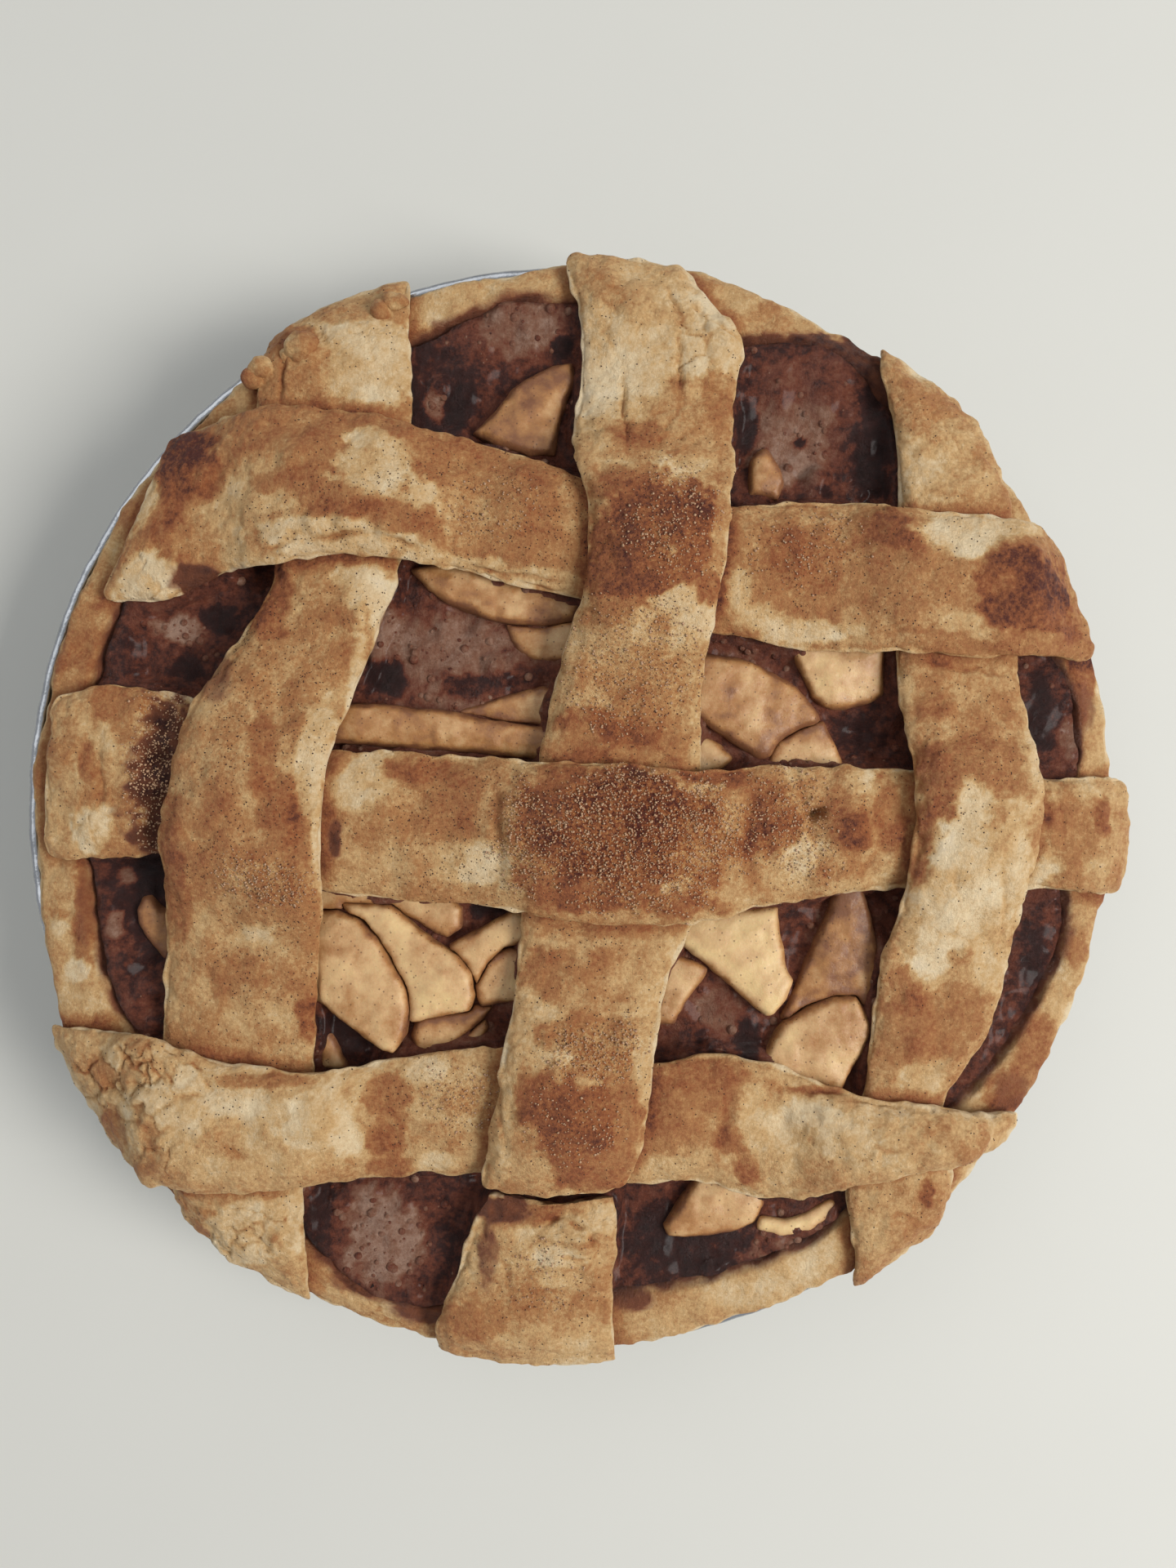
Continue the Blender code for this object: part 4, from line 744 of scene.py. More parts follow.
class Nodes:
    """Short ways to add and join a material's nodes."""

    def __init__(self, name):
        self.material = bpy.data.materials.new(name)
        self.material.use_nodes = True
        self.tree = self.material.node_tree
        self.shader = self.tree.nodes["Principled BSDF"]
        self.place = self.add("ShaderNodeTexCoord").outputs["Object"]

    def give(self, socket, value):
        """Joins another node's output to a socket, or sets its number or colour."""
        if isinstance(value, bpy.types.NodeSocket):
            self.tree.links.new(value, socket)
        elif isinstance(value, (int, float)):
            socket.default_value = value
        else:
            socket.default_value = (*tuple(value)[:3], 1.0)

    def add(self, kind, values=None, **settings):
        """Adds a node, with values for its sockets by name, and with its own settings."""
        node = self.tree.nodes.new(kind)
        for name, value in settings.items():
            setattr(node, name, value)
        for name, value in (values or {}).items():
            self.give(node.inputs[name], value)
        return node

    def set(self, **values):
        """Gives the material's shader its values, by socket name."""
        for name, value in values.items():
            self.give(self.shader.inputs[name.replace("_", " ")], value)

    def attribute(self, name):
        return self.add("ShaderNodeAttribute", attribute_name=name).outputs["Fac"]

    def noise(self, size, detail=4.0, roughness=0.55):
        """A noise whose lumps are about this many millimetres across."""
        values = {"Scale": 1 / (size * MM), "Detail": detail, "Roughness": roughness, "Vector": self.place}
        return self.add("ShaderNodeTexNoise", values).outputs["Fac"]

    def specks(self, spacing, radius):
        """1 in small round specks this far apart, and 0 between them."""
        cells = self.add("ShaderNodeTexVoronoi", {"Scale": 1 / (spacing * MM), "Vector": self.place})
        return self.spread(cells.outputs["Distance"], radius, radius * 0.6)

    def math(self, operation, first, second):
        node = self.add("ShaderNodeMath", operation=operation)
        self.give(node.inputs[0], first)
        self.give(node.inputs[1], second)
        return node.outputs[0]

    def spread(self, value, low, high, to_low=0.0, to_high=1.0):
        """Stretches the values from low to high over the values from to_low to to_high."""
        ends = {"From Min": low, "From Max": high, "To Min": to_low, "To Max": to_high}
        return self.add("ShaderNodeMapRange", {"Value": value, **ends}).outputs["Result"]

    def ramp(self, value, stops):
        node = self.add("ShaderNodeValToRGB", {"Fac": value})
        stones = node.color_ramp.elements
        while len(stones) < len(stops):
            stones.new(0.5)
        for stone, (position, tint) in zip(stones, stops):
            stone.position = position
            stone.color = (*tint, 1.0)
        return node.outputs["Color"]

    def mix(self, share, first, second):
        node = self.add("ShaderNodeMix", data_type="RGBA")
        inputs = [socket for socket in node.inputs if socket.enabled]
        for socket, value in zip(inputs, (share, first, second)):
            self.give(socket, value)
        return [socket for socket in node.outputs if socket.enabled][0]

    def bump(self, height, strength, depth):
        values = {"Strength": strength, "Distance": depth * MM, "Height": height}
        self.set(Normal=self.add("ShaderNodeBump", values).outputs["Normal"])


class PieColours(bpy.types.PropertyGroup):
    """The pie's colours."""

    flour: picked_colour("Flour", "Crust that is still floury", 246, 226, 194)
    cream: picked_colour("Cream", "Pastry that hardly browned", 245, 220, 178)
    golden: picked_colour("Golden", "Pastry baked golden", 221, 180, 124)
    tan: picked_colour("Tan", "Pastry baked tan", 189, 134, 82)
    brown: picked_colour("Brown", "Pastry baked brown", 159, 92, 51)
    burnt: picked_colour("Burnt", "The darkest edges of the crust", 86, 36, 24)
    caramel: picked_colour("Caramel", "Crust that the syrup soaked", 134, 78, 50)
    syrup: picked_colour("Syrup", "Boiled syrup", 60, 28, 22)
    foam: picked_colour("Foam", "Syrup that frothed", 170, 136, 116)
    flesh: picked_colour("Fruit", "The palest fruit", 220, 188, 134)
    soaked: picked_colour("Soaked fruit", "Fruit soaked with syrup", 126, 82, 54)
    spice: picked_colour("Spice", "Grains of cinnamon", 74, 40, 26)
    foil: picked_colour("Foil", "The tin's metal", 206, 208, 211)
    table: picked_colour("Table", "The surface under the pie", 212, 211, 204)


class PieSizes(bpy.types.PropertyGroup):
    """The sizes that a user would change."""

    strip_levels: IntProperty(
        name="Strip detail", description="Subdivision levels of each lattice strip", default=4, min=2, max=4
    )
    fruit_cell: FloatProperty(
        name="Fruit cell", description="Mesh cell of the fruit in millimetres", default=0.5, min=0.3, max=2
    )
    crust_grain: FloatProperty(
        name="Crust grain", description="Height of the fine grain in millimetres", default=0.17, min=0, max=1
    )
    crust_puff: FloatProperty(
        name="Crust puff", description="Height of the broad unevenness in millimetres", default=0.65, min=0
    )


class StageSettings(bpy.types.PropertyGroup):
    """The floor, the lights and the camera."""

    floor_size: FloatProperty(
        name="Floor size", description="Width of the floor", default=6.0, unit="LENGTH", min=1
    )
    camera_height: FloatProperty(
        name="Camera height", description="Height of the camera over the table", default=0.2834, unit="LENGTH"
    )
    camera_across: FloatProperty(
        name="Camera across", description="Place of the camera along X", default=0.0042, unit="LENGTH"
    )
    camera_along: FloatProperty(
        name="Camera along", description="Place of the camera along Y", default=0.0047, unit="LENGTH"
    )
    lens: FloatProperty(name="Lens", description="Focal length", default=28.0, unit="CAMERA")
    key_power: FloatProperty(
        name="Key light", description="Power of the window light", default=20.6, unit="POWER"
    )
    fill_power: FloatProperty(
        name="Fill light", description="Power of the soft light", default=3.1, unit="POWER"
    )
    sky: FloatProperty(name="Sky", description="Brightness of the surroundings", default=0.38, min=0)


def pastry_material(name, colours):
    """Pastry from floury to burnt, by how far each point baked and the painted shade added to that, with
    flecks of spice and syrup stains.
    """
    made = Nodes(name)
    baked = made.attribute("baked")
    cloud = made.spread(made.noise(5.0, 6.0, 0.65), 0.2, 0.8, -0.15, 0.15)
    grain = made.spread(made.noise(0.9, 5.0, 0.7), 0.2, 0.8, -0.17, 0.17)
    grain = made.math("MULTIPLY", grain, made.spread(baked, 0.0, 1.0, 0.7, 1.9))
    sugared = made.attribute("sugared")
    crystals = made.math("MULTIPLY", sugared, made.spread(made.noise(0.6, 3.0, 0.8), 0.3, 0.7, -0.36, 0.26))
    tone = made.math("ADD", made.math("ADD", baked, cloud), made.math("ADD", grain, crystals))
    crust = made.ramp(
        made.spread(tone, -0.17, 1.0),
        [
            (0.0, colours.flour),
            (0.16, colours.cream),
            (0.376, colours.golden),
            (0.547, colours.tan),
            (0.76, colours.brown),
            (1.0, colours.burnt),
        ],
    )
    flecks = made.math("MULTIPLY", made.specks(0.95, 0.2), made.attribute("spiced"))
    crust = made.mix(made.math("MULTIPLY", flecks, 0.6), crust, colours.spice)
    stained = made.attribute("stained")
    soaked = made.math("MULTIPLY", stained, made.spread(made.noise(2.6, 5.0, 0.6), 0.3, 0.7, 0.6, 1.1))
    crust = made.mix(made.spread(soaked, 0.0, 0.5), crust, colours.caramel)
    crust = made.mix(made.spread(soaked, 0.4, 1.0), crust, colours.syrup)
    rough = made.spread(made.math("ADD", stained, sugared), 0, 1, 0.58, 0.32)
    made.set(Base_Color=crust, Roughness=rough, Specular_IOR_Level=0.42)
    made.bump(made.math("ADD", made.noise(0.6, 6.0, 0.75), made.noise(2.0, 5.0, 0.7)), 1.0, 0.7)
    return made.material


def syrup_material(colours):
    made = Nodes("boiled_syrup")
    cloud = made.spread(made.noise(2.0, 6.0, 0.75), 0.25, 0.75, -0.28, 0.28)
    frothed = made.math("ADD", made.attribute("frothed"), cloud)
    body = made.ramp(
        frothed,
        [
            (0.0, dimmed(colours.syrup, 0.45)),
            (0.28, colours.syrup),
            (0.5, shade(118, 62, 42)),
            (0.75, shade(140, 98, 76)),
            (1.0, colours.foam),
        ],
    )
    rough = made.spread(made.noise(1.2, 4.0), 0.3, 0.7, 0.3, 0.54)
    made.set(Base_Color=body, Roughness=rough, Specular_IOR_Level=0.4)
    made.set(Coat_Weight=0.08, Coat_Roughness=0.2)
    made.bump(made.noise(0.75, 6.0, 0.75), 1.0, 0.9)
    return made.material


def fruit_material(colours):
    made = Nodes("cooked_fruit")
    cloud = made.spread(made.noise(2.2, 6.0, 0.7), 0.25, 0.75, -0.2, 0.2)
    soaked = made.math("ADD", made.attribute("soaked"), cloud)
    body = made.ramp(
        soaked,
        [
            (0.0, colours.flesh),
            (0.35, shade(203, 164, 116)),
            (0.7, shade(168, 119, 72)),
            (1.0, colours.soaked),
        ],
    )
    body = made.mix(made.math("MULTIPLY", made.specks(1.3, 0.17), 0.6), body, colours.spice)
    rough = made.spread(made.noise(1.6), 0.3, 0.7, 0.32, 0.52)
    made.set(Base_Color=body, Roughness=rough, Specular_IOR_Level=0.4)
    made.set(Subsurface_Weight=0.08, Subsurface_Scale=2 * MM)
    made.bump(made.noise(0.8, 5.0, 0.65), 0.5, 0.3)
    return made.material


def foil_material(colours):
    made = Nodes("crinkled_foil")
    dull = made.spread(made.noise(6.0, 5.0, 0.7), 0.35, 0.65)
    tint = made.mix(dull, colours.foil, dimmed(colours.foil, 0.78))
    rough = made.spread(made.noise(3.0, 4.0), 0, 1, 0.14, 0.32)
    made.set(Base_Color=tint, Roughness=rough, Metallic=1.0)
    made.bump(made.noise(1.6, 3.0), 0.3, 0.4)
    return made.material


def grain_material(name, grain_colour, roughness):
    made = Nodes(name)
    tint = made.mix(made.noise(2.0, 2.0), grain_colour, dimmed(grain_colour, 0.72))
    made.set(Base_Color=tint, Roughness=roughness)
    return made.material


def bake_pastry(made, node, seed, sizes):
    """Raises the crust's relief and paints how far it baked, from its patches, with painted shade in its
    creases, cracks and next to other strips.
    """
    baking = BAKING[node]
    mesh = made.data
    points = points_of(mesh)
    normals = normals_of(mesh)
    facing_up = smooth_step(0.05, 0.55, normals[:, 2])
    side = 1 - smooth_step(0.35, 0.8, np.abs(normals[:, 2]))
    creases = crease_depth(points, baking.creases, seed + 2)
    puff = sizes.crust_puff * noise_field(points, 13.0, seed) + 0.5 * noise_field(points, 5.0, seed + 3)
    grain = layered_noise(points, seed + 4, (0.26, 2.1), (sizes.crust_grain, 0.95))
    blisters = 0.6 * np.maximum(0, noise_field(points, 3.4, seed + 6) - 0.4)
    flakes = 0.3 * noise_field(points * (0.4, 0.4, 1.7), 1.3, seed + 7)
    ragged = 0.5 * noise_field(points, 6.5, seed + 16) + 0.45 * noise_field(points, 2.6, seed + 9)
    broken = painted_over(points, 0, baking.cracked, seed + 18)
    plate, crack = plates(points, 5.5, seed + 19)
    crack *= smooth_step(-0.35, 0.25, noise_field(points, 7.0, seed + 22))
    crumbled = broken * (0.3 * plate + 0.3 * noise_field(points, 1.8, seed + 23) - 0.6 * crack)
    lumps = lump_height(points, baking.lumps, seed + 8)
    rise = facing_up * (puff + grain + blisters + crumbled + lumps - creases)
    rise += side * (flakes + ragged)
    move_points(mesh, points + normals * rise[:, None])

    local = layered_noise(points, seed + 10, (0.06, 11.0), (0.07, 3.6))
    baked = painted_over(points, baking.tone, baking.patches, seed + 12) + local + 0.14 * (puff + grain)
    # Creases and cracks are painted darker, as painted shade in the hollows; the sides are paler, their own
    # unbrowned colour.
    baked += 0.26 * np.minimum(creases, 0.9) - 0.18 * side + broken * (0.22 * crack - 0.1 * plate)
    # Pastry near another strip is painted darker: partly syrup that soaked in at the crossings, partly
    # painted shade where one strip lies over or beside another.
    crossing_shade_and_soak = 1 - smooth_step(0.2, 3.4, gaps_to(points, [name for name in STRIPS if name != node], 3.4))
    baked += 0.3 * crossing_shade_and_soak * facing_up
    above_syrup = gaps_to(points, ["filling"], 4.5) + 0.7 * noise_field(points, 2.4, seed + 17)
    wet = 1 - smooth_step(0.2, 2.5, above_syrup)
    stained = np.maximum(painted_over(points, 0, baking.stains, seed + 13), 0.85 * wet)
    paint(mesh, "baked", baked)
    paint(mesh, "stained", stained)
    paint(mesh, "sugared", facing_up * painted_over(points, 0, baking.sugar, seed + 14))
    paint(mesh, "spiced", facing_up * painted_over(points, 0.15, baking.spice, seed + 15))


class PIE_OT_tin(bpy.types.Operator):
    """Make the fluted foil tin with its rolled bead"""

    bl_idname = "pie.tin"
    bl_label = "Foil Tin"

    def execute(self, context):
        low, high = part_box("tin")
        profile = TIN_WALL + [(high.x / MM - inward, high.z / MM - below) for inward, below in TIN_RIM]
        mesh = bmesh.new()
        verts = [mesh.verts.new((radius * MM, 0, height * MM)) for radius, height in profile]
        edges = [mesh.edges.new(pair) for pair in zip(verts, verts[1:])]
        bmesh.ops.spin(
            mesh, geom=verts + edges, cent=(0, 0, 0), axis=(0, 0, 1), angle=math.tau,
            steps=TIN_FLUTES * TIN_STEPS_PER_FLUTE, use_merge=True,
        )
        bmesh.ops.remove_doubles(mesh, verts=mesh.verts, dist=0.001 * MM)
        bmesh.ops.recalc_face_normals(mesh, faces=mesh.faces)
        made = new_object("foil_tin", mesh)
        points = points_of(made.data)
        radius = np.hypot(points[:, 0], points[:, 1])
        angle = np.arctan2(points[:, 1], points[:, 0])
        on_wall = smooth_step(85.5, 88, radius) * (1 - smooth_step(101.5, 103.2, radius))
        on_flange = smooth_step(103.5, 105, radius)
        wave = np.cos(TIN_FLUTES * angle)
        flute = TIN_FLUTE_DEPTH * on_wall * np.sign(wave) * np.abs(wave) ** TIN_FLUTE_SHARPNESS
        crinkle = 0.4 * noise_field(points * (1, 1, 0.25), 4.0, FOIL_SEED)
        crinkle += 0.2 * noise_field(points, 2.5, FOIL_SEED + 1)
        grow = 1 + (flute + on_wall * crinkle + 0.2 * on_flange * crinkle) / np.maximum(radius, 1)
        points[:, :2] *= grow[:, None]
        points[:, 2] += on_flange * (0.35 * crinkle + 0.12 * np.cos(3 * TIN_FLUTES * angle))
        points[:, 2] = np.maximum(points[:, 2], 0)
        move_points(made.data, points)
        wall = made.modifiers.new("wall", "SOLIDIFY")
        wall.thickness = TIN_FOIL * MM
        wall.offset = -1
        apply_modifiers(made)
        finish_piece(made, foil_material(context.scene.pie_colours), ["tin"])
        return {"FINISHED"}


def edges_round_rim(mesh):
    """The edges on the rim that run round the pie and not across it."""
    found = []
    for edge in mesh.edges:
        start, end = (point.co for point in edge.verts)
        middle = (start + end) / 2
        run = end - start
        outward = Vector((middle.x, middle.y, 0))
        on_rim = outward.length > RIM_FROM_RADIUS * MM and middle.z > RIM_FROM_HEIGHT * MM
        is_level = abs(run.z) < 0.5 * run.length
        if on_rim and is_level and abs(run.normalized().dot(outward.normalized())) < 0.35:
            found.append(edge)
    return found


class PIE_OT_case(bpy.types.Operator):
    """Make the bottom crust and its uneven rim"""

    bl_idname = "pie.case"
    bl_label = "Bottom Crust"

    def execute(self, context):
        scene = context.scene
        made = new_object("bottom_crust", cad_copy("pastry_case"))
        subdivide(made, 2)
        mesh = bmesh.new()
        mesh.from_mesh(made.data)
        bmesh.ops.subdivide_edges(
            mesh, edges=edges_round_rim(mesh), cuts=2, use_grid_fill=True, smooth=0.0
        )
        mesh.to_mesh(made.data)
        mesh.free()
        bake_pastry(made, "pastry_case", CASE_SEED, scene.pie_sizes)
        finish_piece(made, pastry_material("rim_pastry", scene.pie_colours), ["pastry_case"])
        return {"FINISHED"}


class PIE_OT_lattice(bpy.types.Operator):
    """Make the woven strips of the lattice, each baked in its own way"""

    bl_idname = "pie.lattice"
    bl_label = "Lattice Strips"

    def execute(self, context):
        scene = context.scene
        material = pastry_material("lattice_pastry", scene.pie_colours)
        for number, name in enumerate(STRIPS):
            made = new_object(f"{name}_baked", cad_copy(name))
            subdivide(made, scene.pie_sizes.strip_levels)
            bake_pastry(made, name, FIRST_STRIP_SEED + STRIP_SEED_STEP * number, scene.pie_sizes)
            finish_piece(made, material, [name])
        return {"FINISHED"}


def syrup_reach(points):
    """How far from the middle the syrup reaches, in the direction of each point."""
    angles = np.degrees(np.arctan2(points[:, 1], points[:, 0]))
    known, reaches = zip(*SYRUP_OUTLINE)
    return np.interp(angles, known, reaches, period=360)


def syrup_level(points):
    """The height of the syrup: up to the lattice under the strips, and sunk and lumpy between them."""
    bed = bed_height(points)
    away = gaps_to(np.stack([points[:, 0], points[:, 1], bed], axis=1), STRIPS, 5.0)
    flat = points * (1, 1, 0)
    open_share = smooth_step(0.2, 1.8, away + 0.6 * noise_field(flat, 2.4, SYRUP_SEED + 3))
    lumps = layered_noise(flat, SYRUP_SEED, (0.5, 9.0), (0.9, 4.0), (0.6, 2.0))
    sink = np.interp(np.hypot(points[:, 0], points[:, 1]), (84, 95), (3.4, 0.8))
    return bed - 0.5 - open_share * (sink - lumps), open_share


def ring_below(mesh, edges, height, radius=None):
    """Draws the open edges down to this height, and in to this radius where one is given."""
    made = bmesh.ops.extrude_edge_only(mesh, edges=edges)["geom"]
    edges = [item for item in made if isinstance(item, bmesh.types.BMEdge)]
    for point in {point for edge in edges for point in edge.verts}:
        if radius:
            point.co.z = 0
            point.co = point.co.normalized() * radius * MM
        point.co.z = height * MM
    return edges


def syrup_body():
    """The syrup's flat skin, cut to its outline, with its sides and its underside."""
    mesh = bmesh.new()
    bmesh.ops.create_grid(
        mesh, x_segments=SYRUP_CELLS, y_segments=SYRUP_CELLS, size=SYRUP_HALF_WIDTH * MM
    )
    places = np.array([point.co for point in mesh.verts]) / MM
    beyond = np.hypot(places[:, 0], places[:, 1]) > syrup_reach(places)
    outside = [point for point, is_out in zip(mesh.verts, beyond) if is_out]
    bmesh.ops.delete(mesh, geom=outside, context="VERTS")
    loose = [point for point in mesh.verts if len(point.link_edges) < 2]
    bmesh.ops.delete(mesh, geom=loose, context="VERTS")
    places = np.array([point.co for point in mesh.verts]) / MM
    for point, reach in zip(mesh.verts, syrup_reach(places)):
        if point.is_boundary:
            point.co *= reach * MM / point.co.length
        point.co.z = SYRUP_SKIN * MM
    edges = [edge for edge in mesh.edges if edge.is_boundary]
    edges = ring_below(mesh, edges, SYRUP_EDGE)
    for radius, height in SYRUP_RINGS:
        edges = ring_below(mesh, edges, height, radius)
    bmesh.ops.holes_fill(mesh, edges=edges, sides=0)
    bmesh.ops.recalc_face_normals(mesh, faces=mesh.faces)
    return mesh


def dome_height(points):
    """How high the domes that the boil left stand at each point."""
    rng = np.random.default_rng(SEED)
    total = np.zeros(len(points))
    places = rng.uniform(-SYRUP_HALF_WIDTH, SYRUP_HALF_WIDTH, (DOME_COUNT, 2))
    radii = DOME_RADIUS_LOW + DOME_RADIUS_SPREAD * rng.random(DOME_COUNT) ** 2
    for (x, y), radius in zip(places, radii):
        away = np.hypot(points[:, 0] - x, points[:, 1] - y) / radius
        total = np.maximum(total, 0.5 * radius * np.sqrt(np.maximum(0, 1 - away**2)))
    return total


class PIE_OT_syrup(bpy.types.Operator):
    """Make the boiled syrup, level with the lattice and lumpy in the gaps"""

    bl_idname = "pie.syrup"
    bl_label = "Syrup"

    def execute(self, context):
        made = new_object("syrup_filling", syrup_body())
        points = points_of(made.data)
        top = points[:, 2] > (SYRUP_SKIN + SYRUP_EDGE) / 2
        skin = points[top]
        level, open_share = syrup_level(skin)
        froth = painted_over(skin, SYRUP_BASE_TONE, SYRUP_TONES, SYRUP_SEED + 10)
        juice = 1 - smooth_step(0.4, 3.0, gaps_to(skin, FRUIT_TONES, 3.0))
        froth += 0.6 * juice * (0.6 - froth)
        points[top, 2] = level + open_share * dome_height(skin)
        move_points(made.data, points)
        frothed = np.zeros(len(points))
        frothed[top] = froth + 0.1 * noise_field(points[top], 6.0, SYRUP_SEED + 12)
        paint(made.data, "frothed", frothed)
        paint(made.data, "bubbly", np.maximum(0, frothed - 0.3))
        finish_piece(made, syrup_material(context.scene.pie_colours), ["filling"])
        return {"FINISHED"}


def away_from_edge(points, normals):
    """How far each point of a fruit slice is from the slice's sides."""
    side = points[np.abs(normals[:, 2]) < 0.5]
    tree = KDTree(len(side))
    for index, point in enumerate(side):
        tree.insert(point, index)
    tree.balance()
    return np.array([tree.find(point)[2] for point in points])


class PIE_OT_fruit(bpy.types.Operator):
    """Make the soft fruit slices that show between the strips"""

    bl_idname = "pie.fruit"
    bl_label = "Fruit Slices"

    def execute(self, context):
        scene = context.scene
        material = fruit_material(scene.pie_colours)
        for number, (name, tone) in enumerate(FRUIT_TONES.items()):
            made = new_object(f"{name}_cooked", cad_copy(name))
            remesh(made, scene.pie_sizes.fruit_cell, 2)
            points = points_of(made.data)
            normals = normals_of(made.data)
            seed = FIRST_FRUIT_SEED + FRUIT_SEED_STEP * number
            inward = np.clip(away_from_edge(points, normals) / 5, 0, 1)
            relief = 0.1 + 0.65 * inward + layered_noise(points, seed, (0.28, 4.5), (0.17, 1.6))
            move_points(made.data, points + normals * relief[:, None])
            margin = 1 - smooth_step(0.0, 0.36, inward + 0.12 * noise_field(points, 2.5, seed + 4))
            soaked = tone + 0.5 * margin + layered_noise(points, seed + 2, (0.24, 5.0), (0.15, 1.8))
            paint(made.data, "soaked", soaked)
            finish_piece(made, material, [name])
        return {"FINISHED"}


def chosen_spots(names, attribute, count, rng):
    """Random spots on these pieces, more of them where the attribute is strong, with their normals."""
    corners, facing, weights = [], [], []
    for name in names:
        mesh = bpy.data.objects[name].data
        mesh.calc_loop_triangles()
        index = rows_of(mesh.loop_triangles, "vertices", 3, np.int32)
        values = rows_of(mesh.attributes[attribute].data, "value").ravel()
        spots = points_of(mesh)[index]
        across = np.cross(spots[:, 1] - spots[:, 0], spots[:, 2] - spots[:, 0])
        area = np.linalg.norm(across, axis=1) + 1e-9
        corners.append(spots)
        facing.append(across / area[:, None])
        weights.append(values[index].mean(axis=1) * area * (across[:, 2] > 0.3 * area))
    corners, facing, weights = np.concatenate(corners), np.concatenate(facing), np.concatenate(weights)
    picked = rng.choice(len(weights), size=count, p=weights / weights.sum())
    first, second = rng.random((2, count, 1))
    beyond = first + second > 1
    first, second = np.where(beyond, 1 - first, first), np.where(beyond, 1 - second, second)
    start, one, other = corners[picked].transpose(1, 0, 2)
    return start + first * (one - start) + second * (other - start), facing[picked]


class PIE_OT_toppings(bpy.types.Operator):
    """Scatter the sugar crystals and the grains of cinnamon over the lattice"""

    bl_idname = "pie.toppings"
    bl_label = "Sugar And Cinnamon"

    def execute(self, context):
        rng = np.random.default_rng(SEED + 1)
        colours = context.scene.pie_colours
        crystal = bmesh.new()
        bmesh.ops.create_cube(crystal, size=1.0)
        strips = [f"{name}_baked" for name in STRIPS]
        spots, normals = chosen_spots(strips, "sugared", SUGAR_COUNT, rng)
        sizes = rng.uniform(*SUGAR_SIDE, (SUGAR_COUNT, 3)) * rng.choice(SUGAR_GROWTH, (SUGAR_COUNT, 1))
        sugar = scattered("sugar_crystals", crystal, spots + 0.08 * normals, sizes, normals, rng)
        finish_piece(sugar, grain_material("sugar", shade(190, 150, 116), 0.25))
        grain = bmesh.new()
        bmesh.ops.create_icosphere(grain, subdivisions=1, radius=0.5)
        spots, normals = chosen_spots(strips, "spiced", SPICE_COUNT, rng)
        sizes = rng.uniform(*SPICE_SIDE, (SPICE_COUNT, 3)) * SPICE_FLAKE
        spice = scattered("cinnamon_grains", grain, spots + 0.03 * normals, sizes, normals, rng)
        finish_piece(spice, grain_material("cinnamon", colours.spice, 0.8))
        return {"FINISHED"}


class PIE_OT_bubbles(bpy.types.Operator):
    """Raise small bubbles where the syrup frothed"""

    bl_idname = "pie.bubbles"
    bl_label = "Syrup Bubbles"

    def execute(self, context):
        rng = np.random.default_rng(SEED + 2)
        spots, normals = chosen_spots(["syrup_filling"], "bubbly", BUBBLE_COUNT, rng)
        share = rng.uniform(0, 1, BUBBLE_COUNT) ** 2.5
        radii = BUBBLE_RADIUS_LOW + (BUBBLE_RADIUS_HIGH - BUBBLE_RADIUS_LOW) * share
        bubble = bmesh.new()
        bmesh.ops.create_icosphere(bubble, subdivisions=2, radius=1.0)
        below = [point for point in bubble.verts if point.co.z < -0.2]
        bmesh.ops.delete(bubble, geom=below, context="VERTS")
        sizes = np.stack([radii, radii, 0.8 * radii], axis=1)
        spots -= 0.25 * normals * radii[:, None]
        made = scattered("syrup_bubbles", bubble, spots, sizes, normals, rng)
        tones = np.repeat(rng.uniform(0.45, 0.8, BUBBLE_COUNT), len(made.data.vertices) // BUBBLE_COUNT)
        paint(made.data, "frothed", tones)
        finish_piece(made, bpy.data.materials["boiled_syrup"])
        return {"FINISHED"}


class PIE_OT_knobs(bpy.types.Operator):
    """Press small knobs of spare dough on the rim"""

    bl_idname = "pie.knobs"
    bl_label = "Dough Knobs"

    def execute(self, context):
        mesh = bmesh.new()
        for x, y, height, radius in KNOBS:
            made = bmesh.ops.create_icosphere(mesh, subdivisions=4, radius=radius * MM)["verts"]
            bmesh.ops.scale(mesh, vec=(1.15, 0.95, 0.8), verts=made)
            bmesh.ops.translate(mesh, vec=Vector((x, y, height)) * MM, verts=made)
        made = new_object("dough_knobs", mesh)
        points, normals = points_of(made.data), normals_of(made.data)
        relief = layered_noise(points, KNOB_SEED, (0.7, 3.4), (0.3, 1.4))
        move_points(made.data, points + normals * relief[:, None])
        paint(made.data, "baked", 0.42 + 0.3 * relief + 0.15 * noise_field(points, 3.0, KNOB_SEED + 2))
        for name in ("stained", "sugared", "spiced"):
            paint(made.data, name, np.zeros(len(points)))
        finish_piece(made, bpy.data.materials["rim_pastry"])
        return {"FINISHED"}


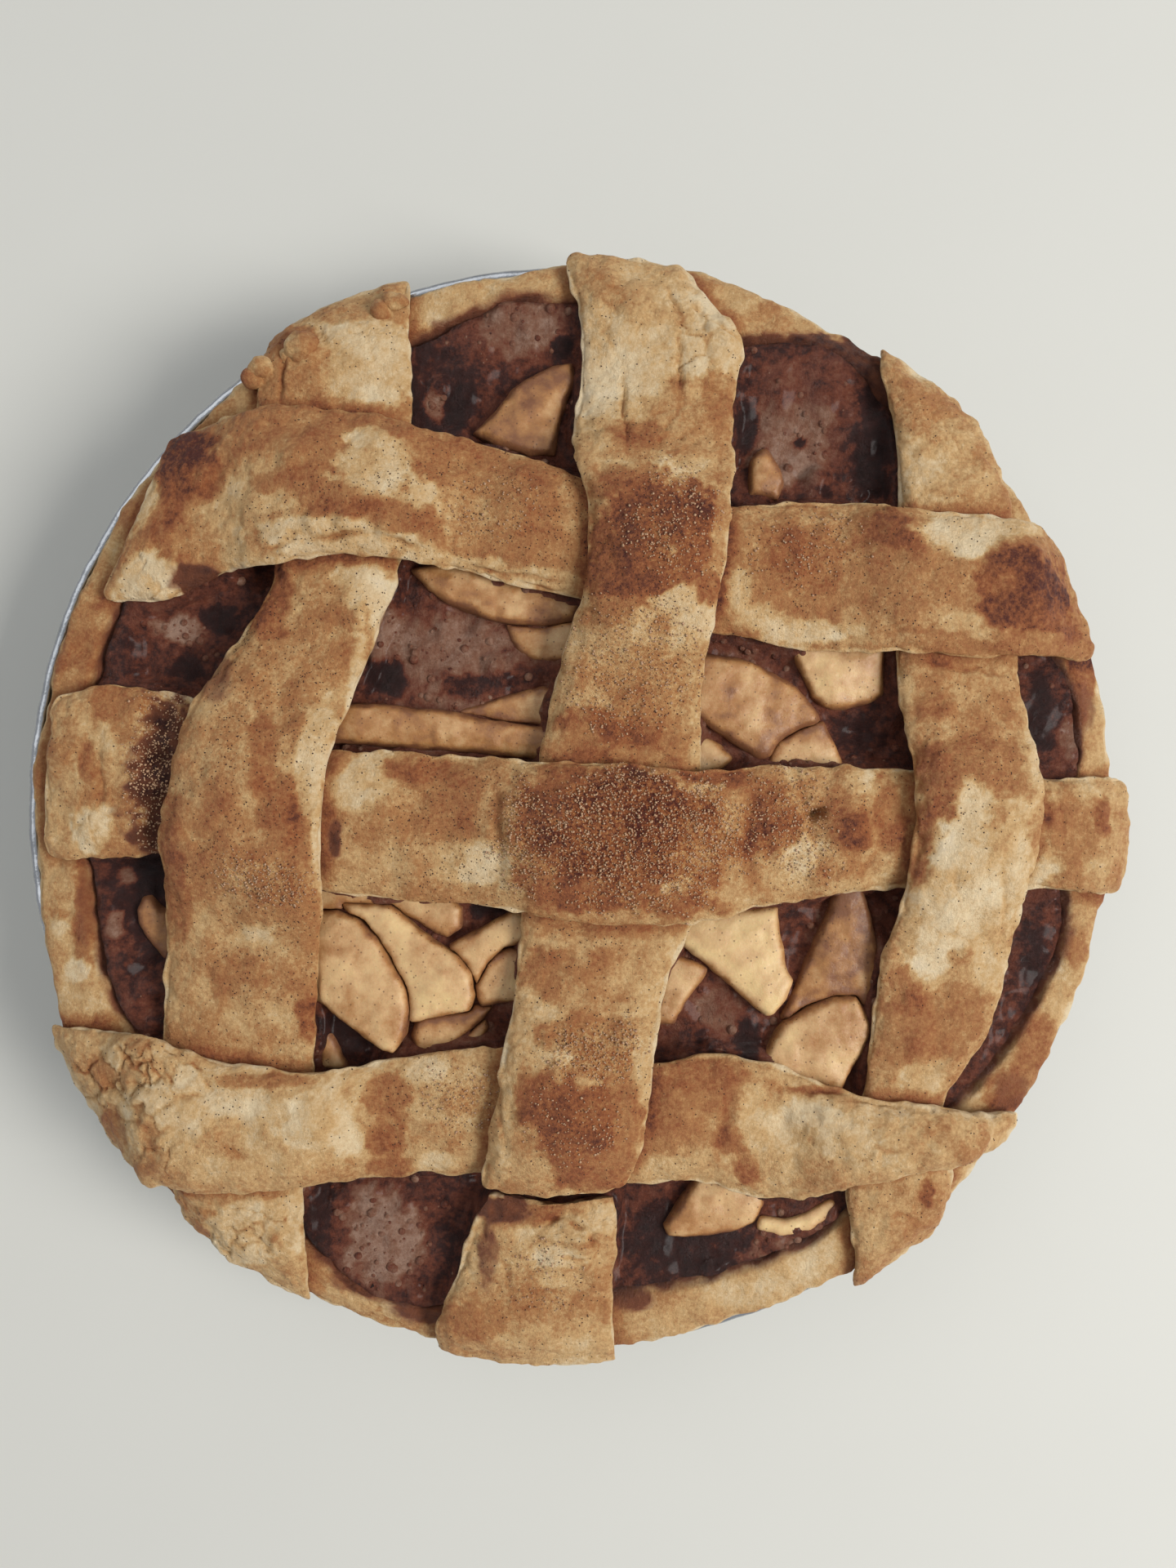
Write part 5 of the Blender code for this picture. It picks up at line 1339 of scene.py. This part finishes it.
class PIE_OT_stage(bpy.types.Operator):
    """Set up the pale table, the soft light and the camera over the pie"""

    bl_idname = "pie.stage"
    bl_label = "Stage"

    def execute(self, context):
        scene = context.scene
        stage = scene.pie_stage
        mesh = bmesh.new()
        bmesh.ops.create_grid(mesh, x_segments=1, y_segments=1, size=stage.floor_size / 2)
        bmesh.ops.translate(mesh, vec=(0, 0, -0.05 * MM), verts=mesh.verts)
        floor = new_object("table_top", mesh)
        top = Nodes("table")
        pale = scene.pie_colours.table
        tint = top.mix(top.noise(60.0, 2.0), pale, dimmed(pale, 0.97))
        top.set(Base_Color=tint, Roughness=0.6, Specular_IOR_Level=0.25)
        floor.data.materials.append(top.material)

        self.add_light("window", (1.06, -0.25, 1.06), 0.62, stage.key_power, (1.0, 0.985, 0.96))
        self.add_light("ceiling", (-0.35, 0.5, 1.2), 1.2, stage.fill_power, (0.96, 0.98, 1.0))
        world = bpy.data.worlds.new("soft_room")
        world.use_nodes = True
        background = world.node_tree.nodes["Background"]
        background.inputs["Color"].default_value = (0.93, 0.96, 1.0, 1.0)
        background.inputs["Strength"].default_value = stage.sky
        scene.world = world

        camera = bpy.data.cameras.new("overhead")
        camera.lens = stage.lens
        camera.sensor_width = 36.0
        camera.clip_start = 0.01
        eye = put_in_scene("overhead", camera)
        eye.location = (stage.camera_across, stage.camera_along, stage.camera_height)
        scene.camera = eye
        scene.view_settings.view_transform = "Standard"
        return {"FINISHED"}

    def add_light(self, name, place, size, power, colour):
        lamp = bpy.data.lights.new(name, "AREA")
        lamp.size = size
        lamp.energy = power
        lamp.color = colour
        made = put_in_scene(name, lamp)
        made.location = place
        made.rotation_euler = (-Vector(place)).to_track_quat("-Z", "Y").to_euler()


STEPS = [
    PIE_OT_tin,
    PIE_OT_case,
    PIE_OT_syrup,
    PIE_OT_fruit,
    PIE_OT_lattice,
    PIE_OT_toppings,
    PIE_OT_bubbles,
    PIE_OT_knobs,
    PIE_OT_stage,
]


class PIE_PT_panel(bpy.types.Panel):
    """Lists the steps that build the pie"""

    bl_idname = "PIE_PT_panel"
    bl_label = "Lattice Apple Pie"
    bl_space_type = "VIEW_3D"
    bl_region_type = "UI"
    bl_category = "Pie"

    def draw(self, context):
        for step in STEPS:
            self.layout.operator(step.bl_idname)
        for group in (context.scene.pie_colours, context.scene.pie_sizes, context.scene.pie_stage):
            box = self.layout.box()
            for name in group.bl_rna.properties.keys():
                if name not in {"rna_type", "name"}:
                    box.prop(group, name)


CLASSES = [PieColours, PieSizes, StageSettings, *STEPS, PIE_PT_panel]


def register():
    for item in CLASSES:
        bpy.utils.register_class(item)
    bpy.types.Scene.pie_colours = PointerProperty(type=PieColours)
    bpy.types.Scene.pie_sizes = PointerProperty(type=PieSizes)
    bpy.types.Scene.pie_stage = PointerProperty(type=StageSettings)


def unregister():
    del bpy.types.Scene.pie_stage
    del bpy.types.Scene.pie_sizes
    del bpy.types.Scene.pie_colours
    for item in reversed(CLASSES):
        bpy.utils.unregister_class(item)


def main():
    register()
    for step in STEPS:
        group, name = step.bl_idname.split(".")
        getattr(getattr(bpy.ops, group), name)()


if __name__ == "__main__":
    main()
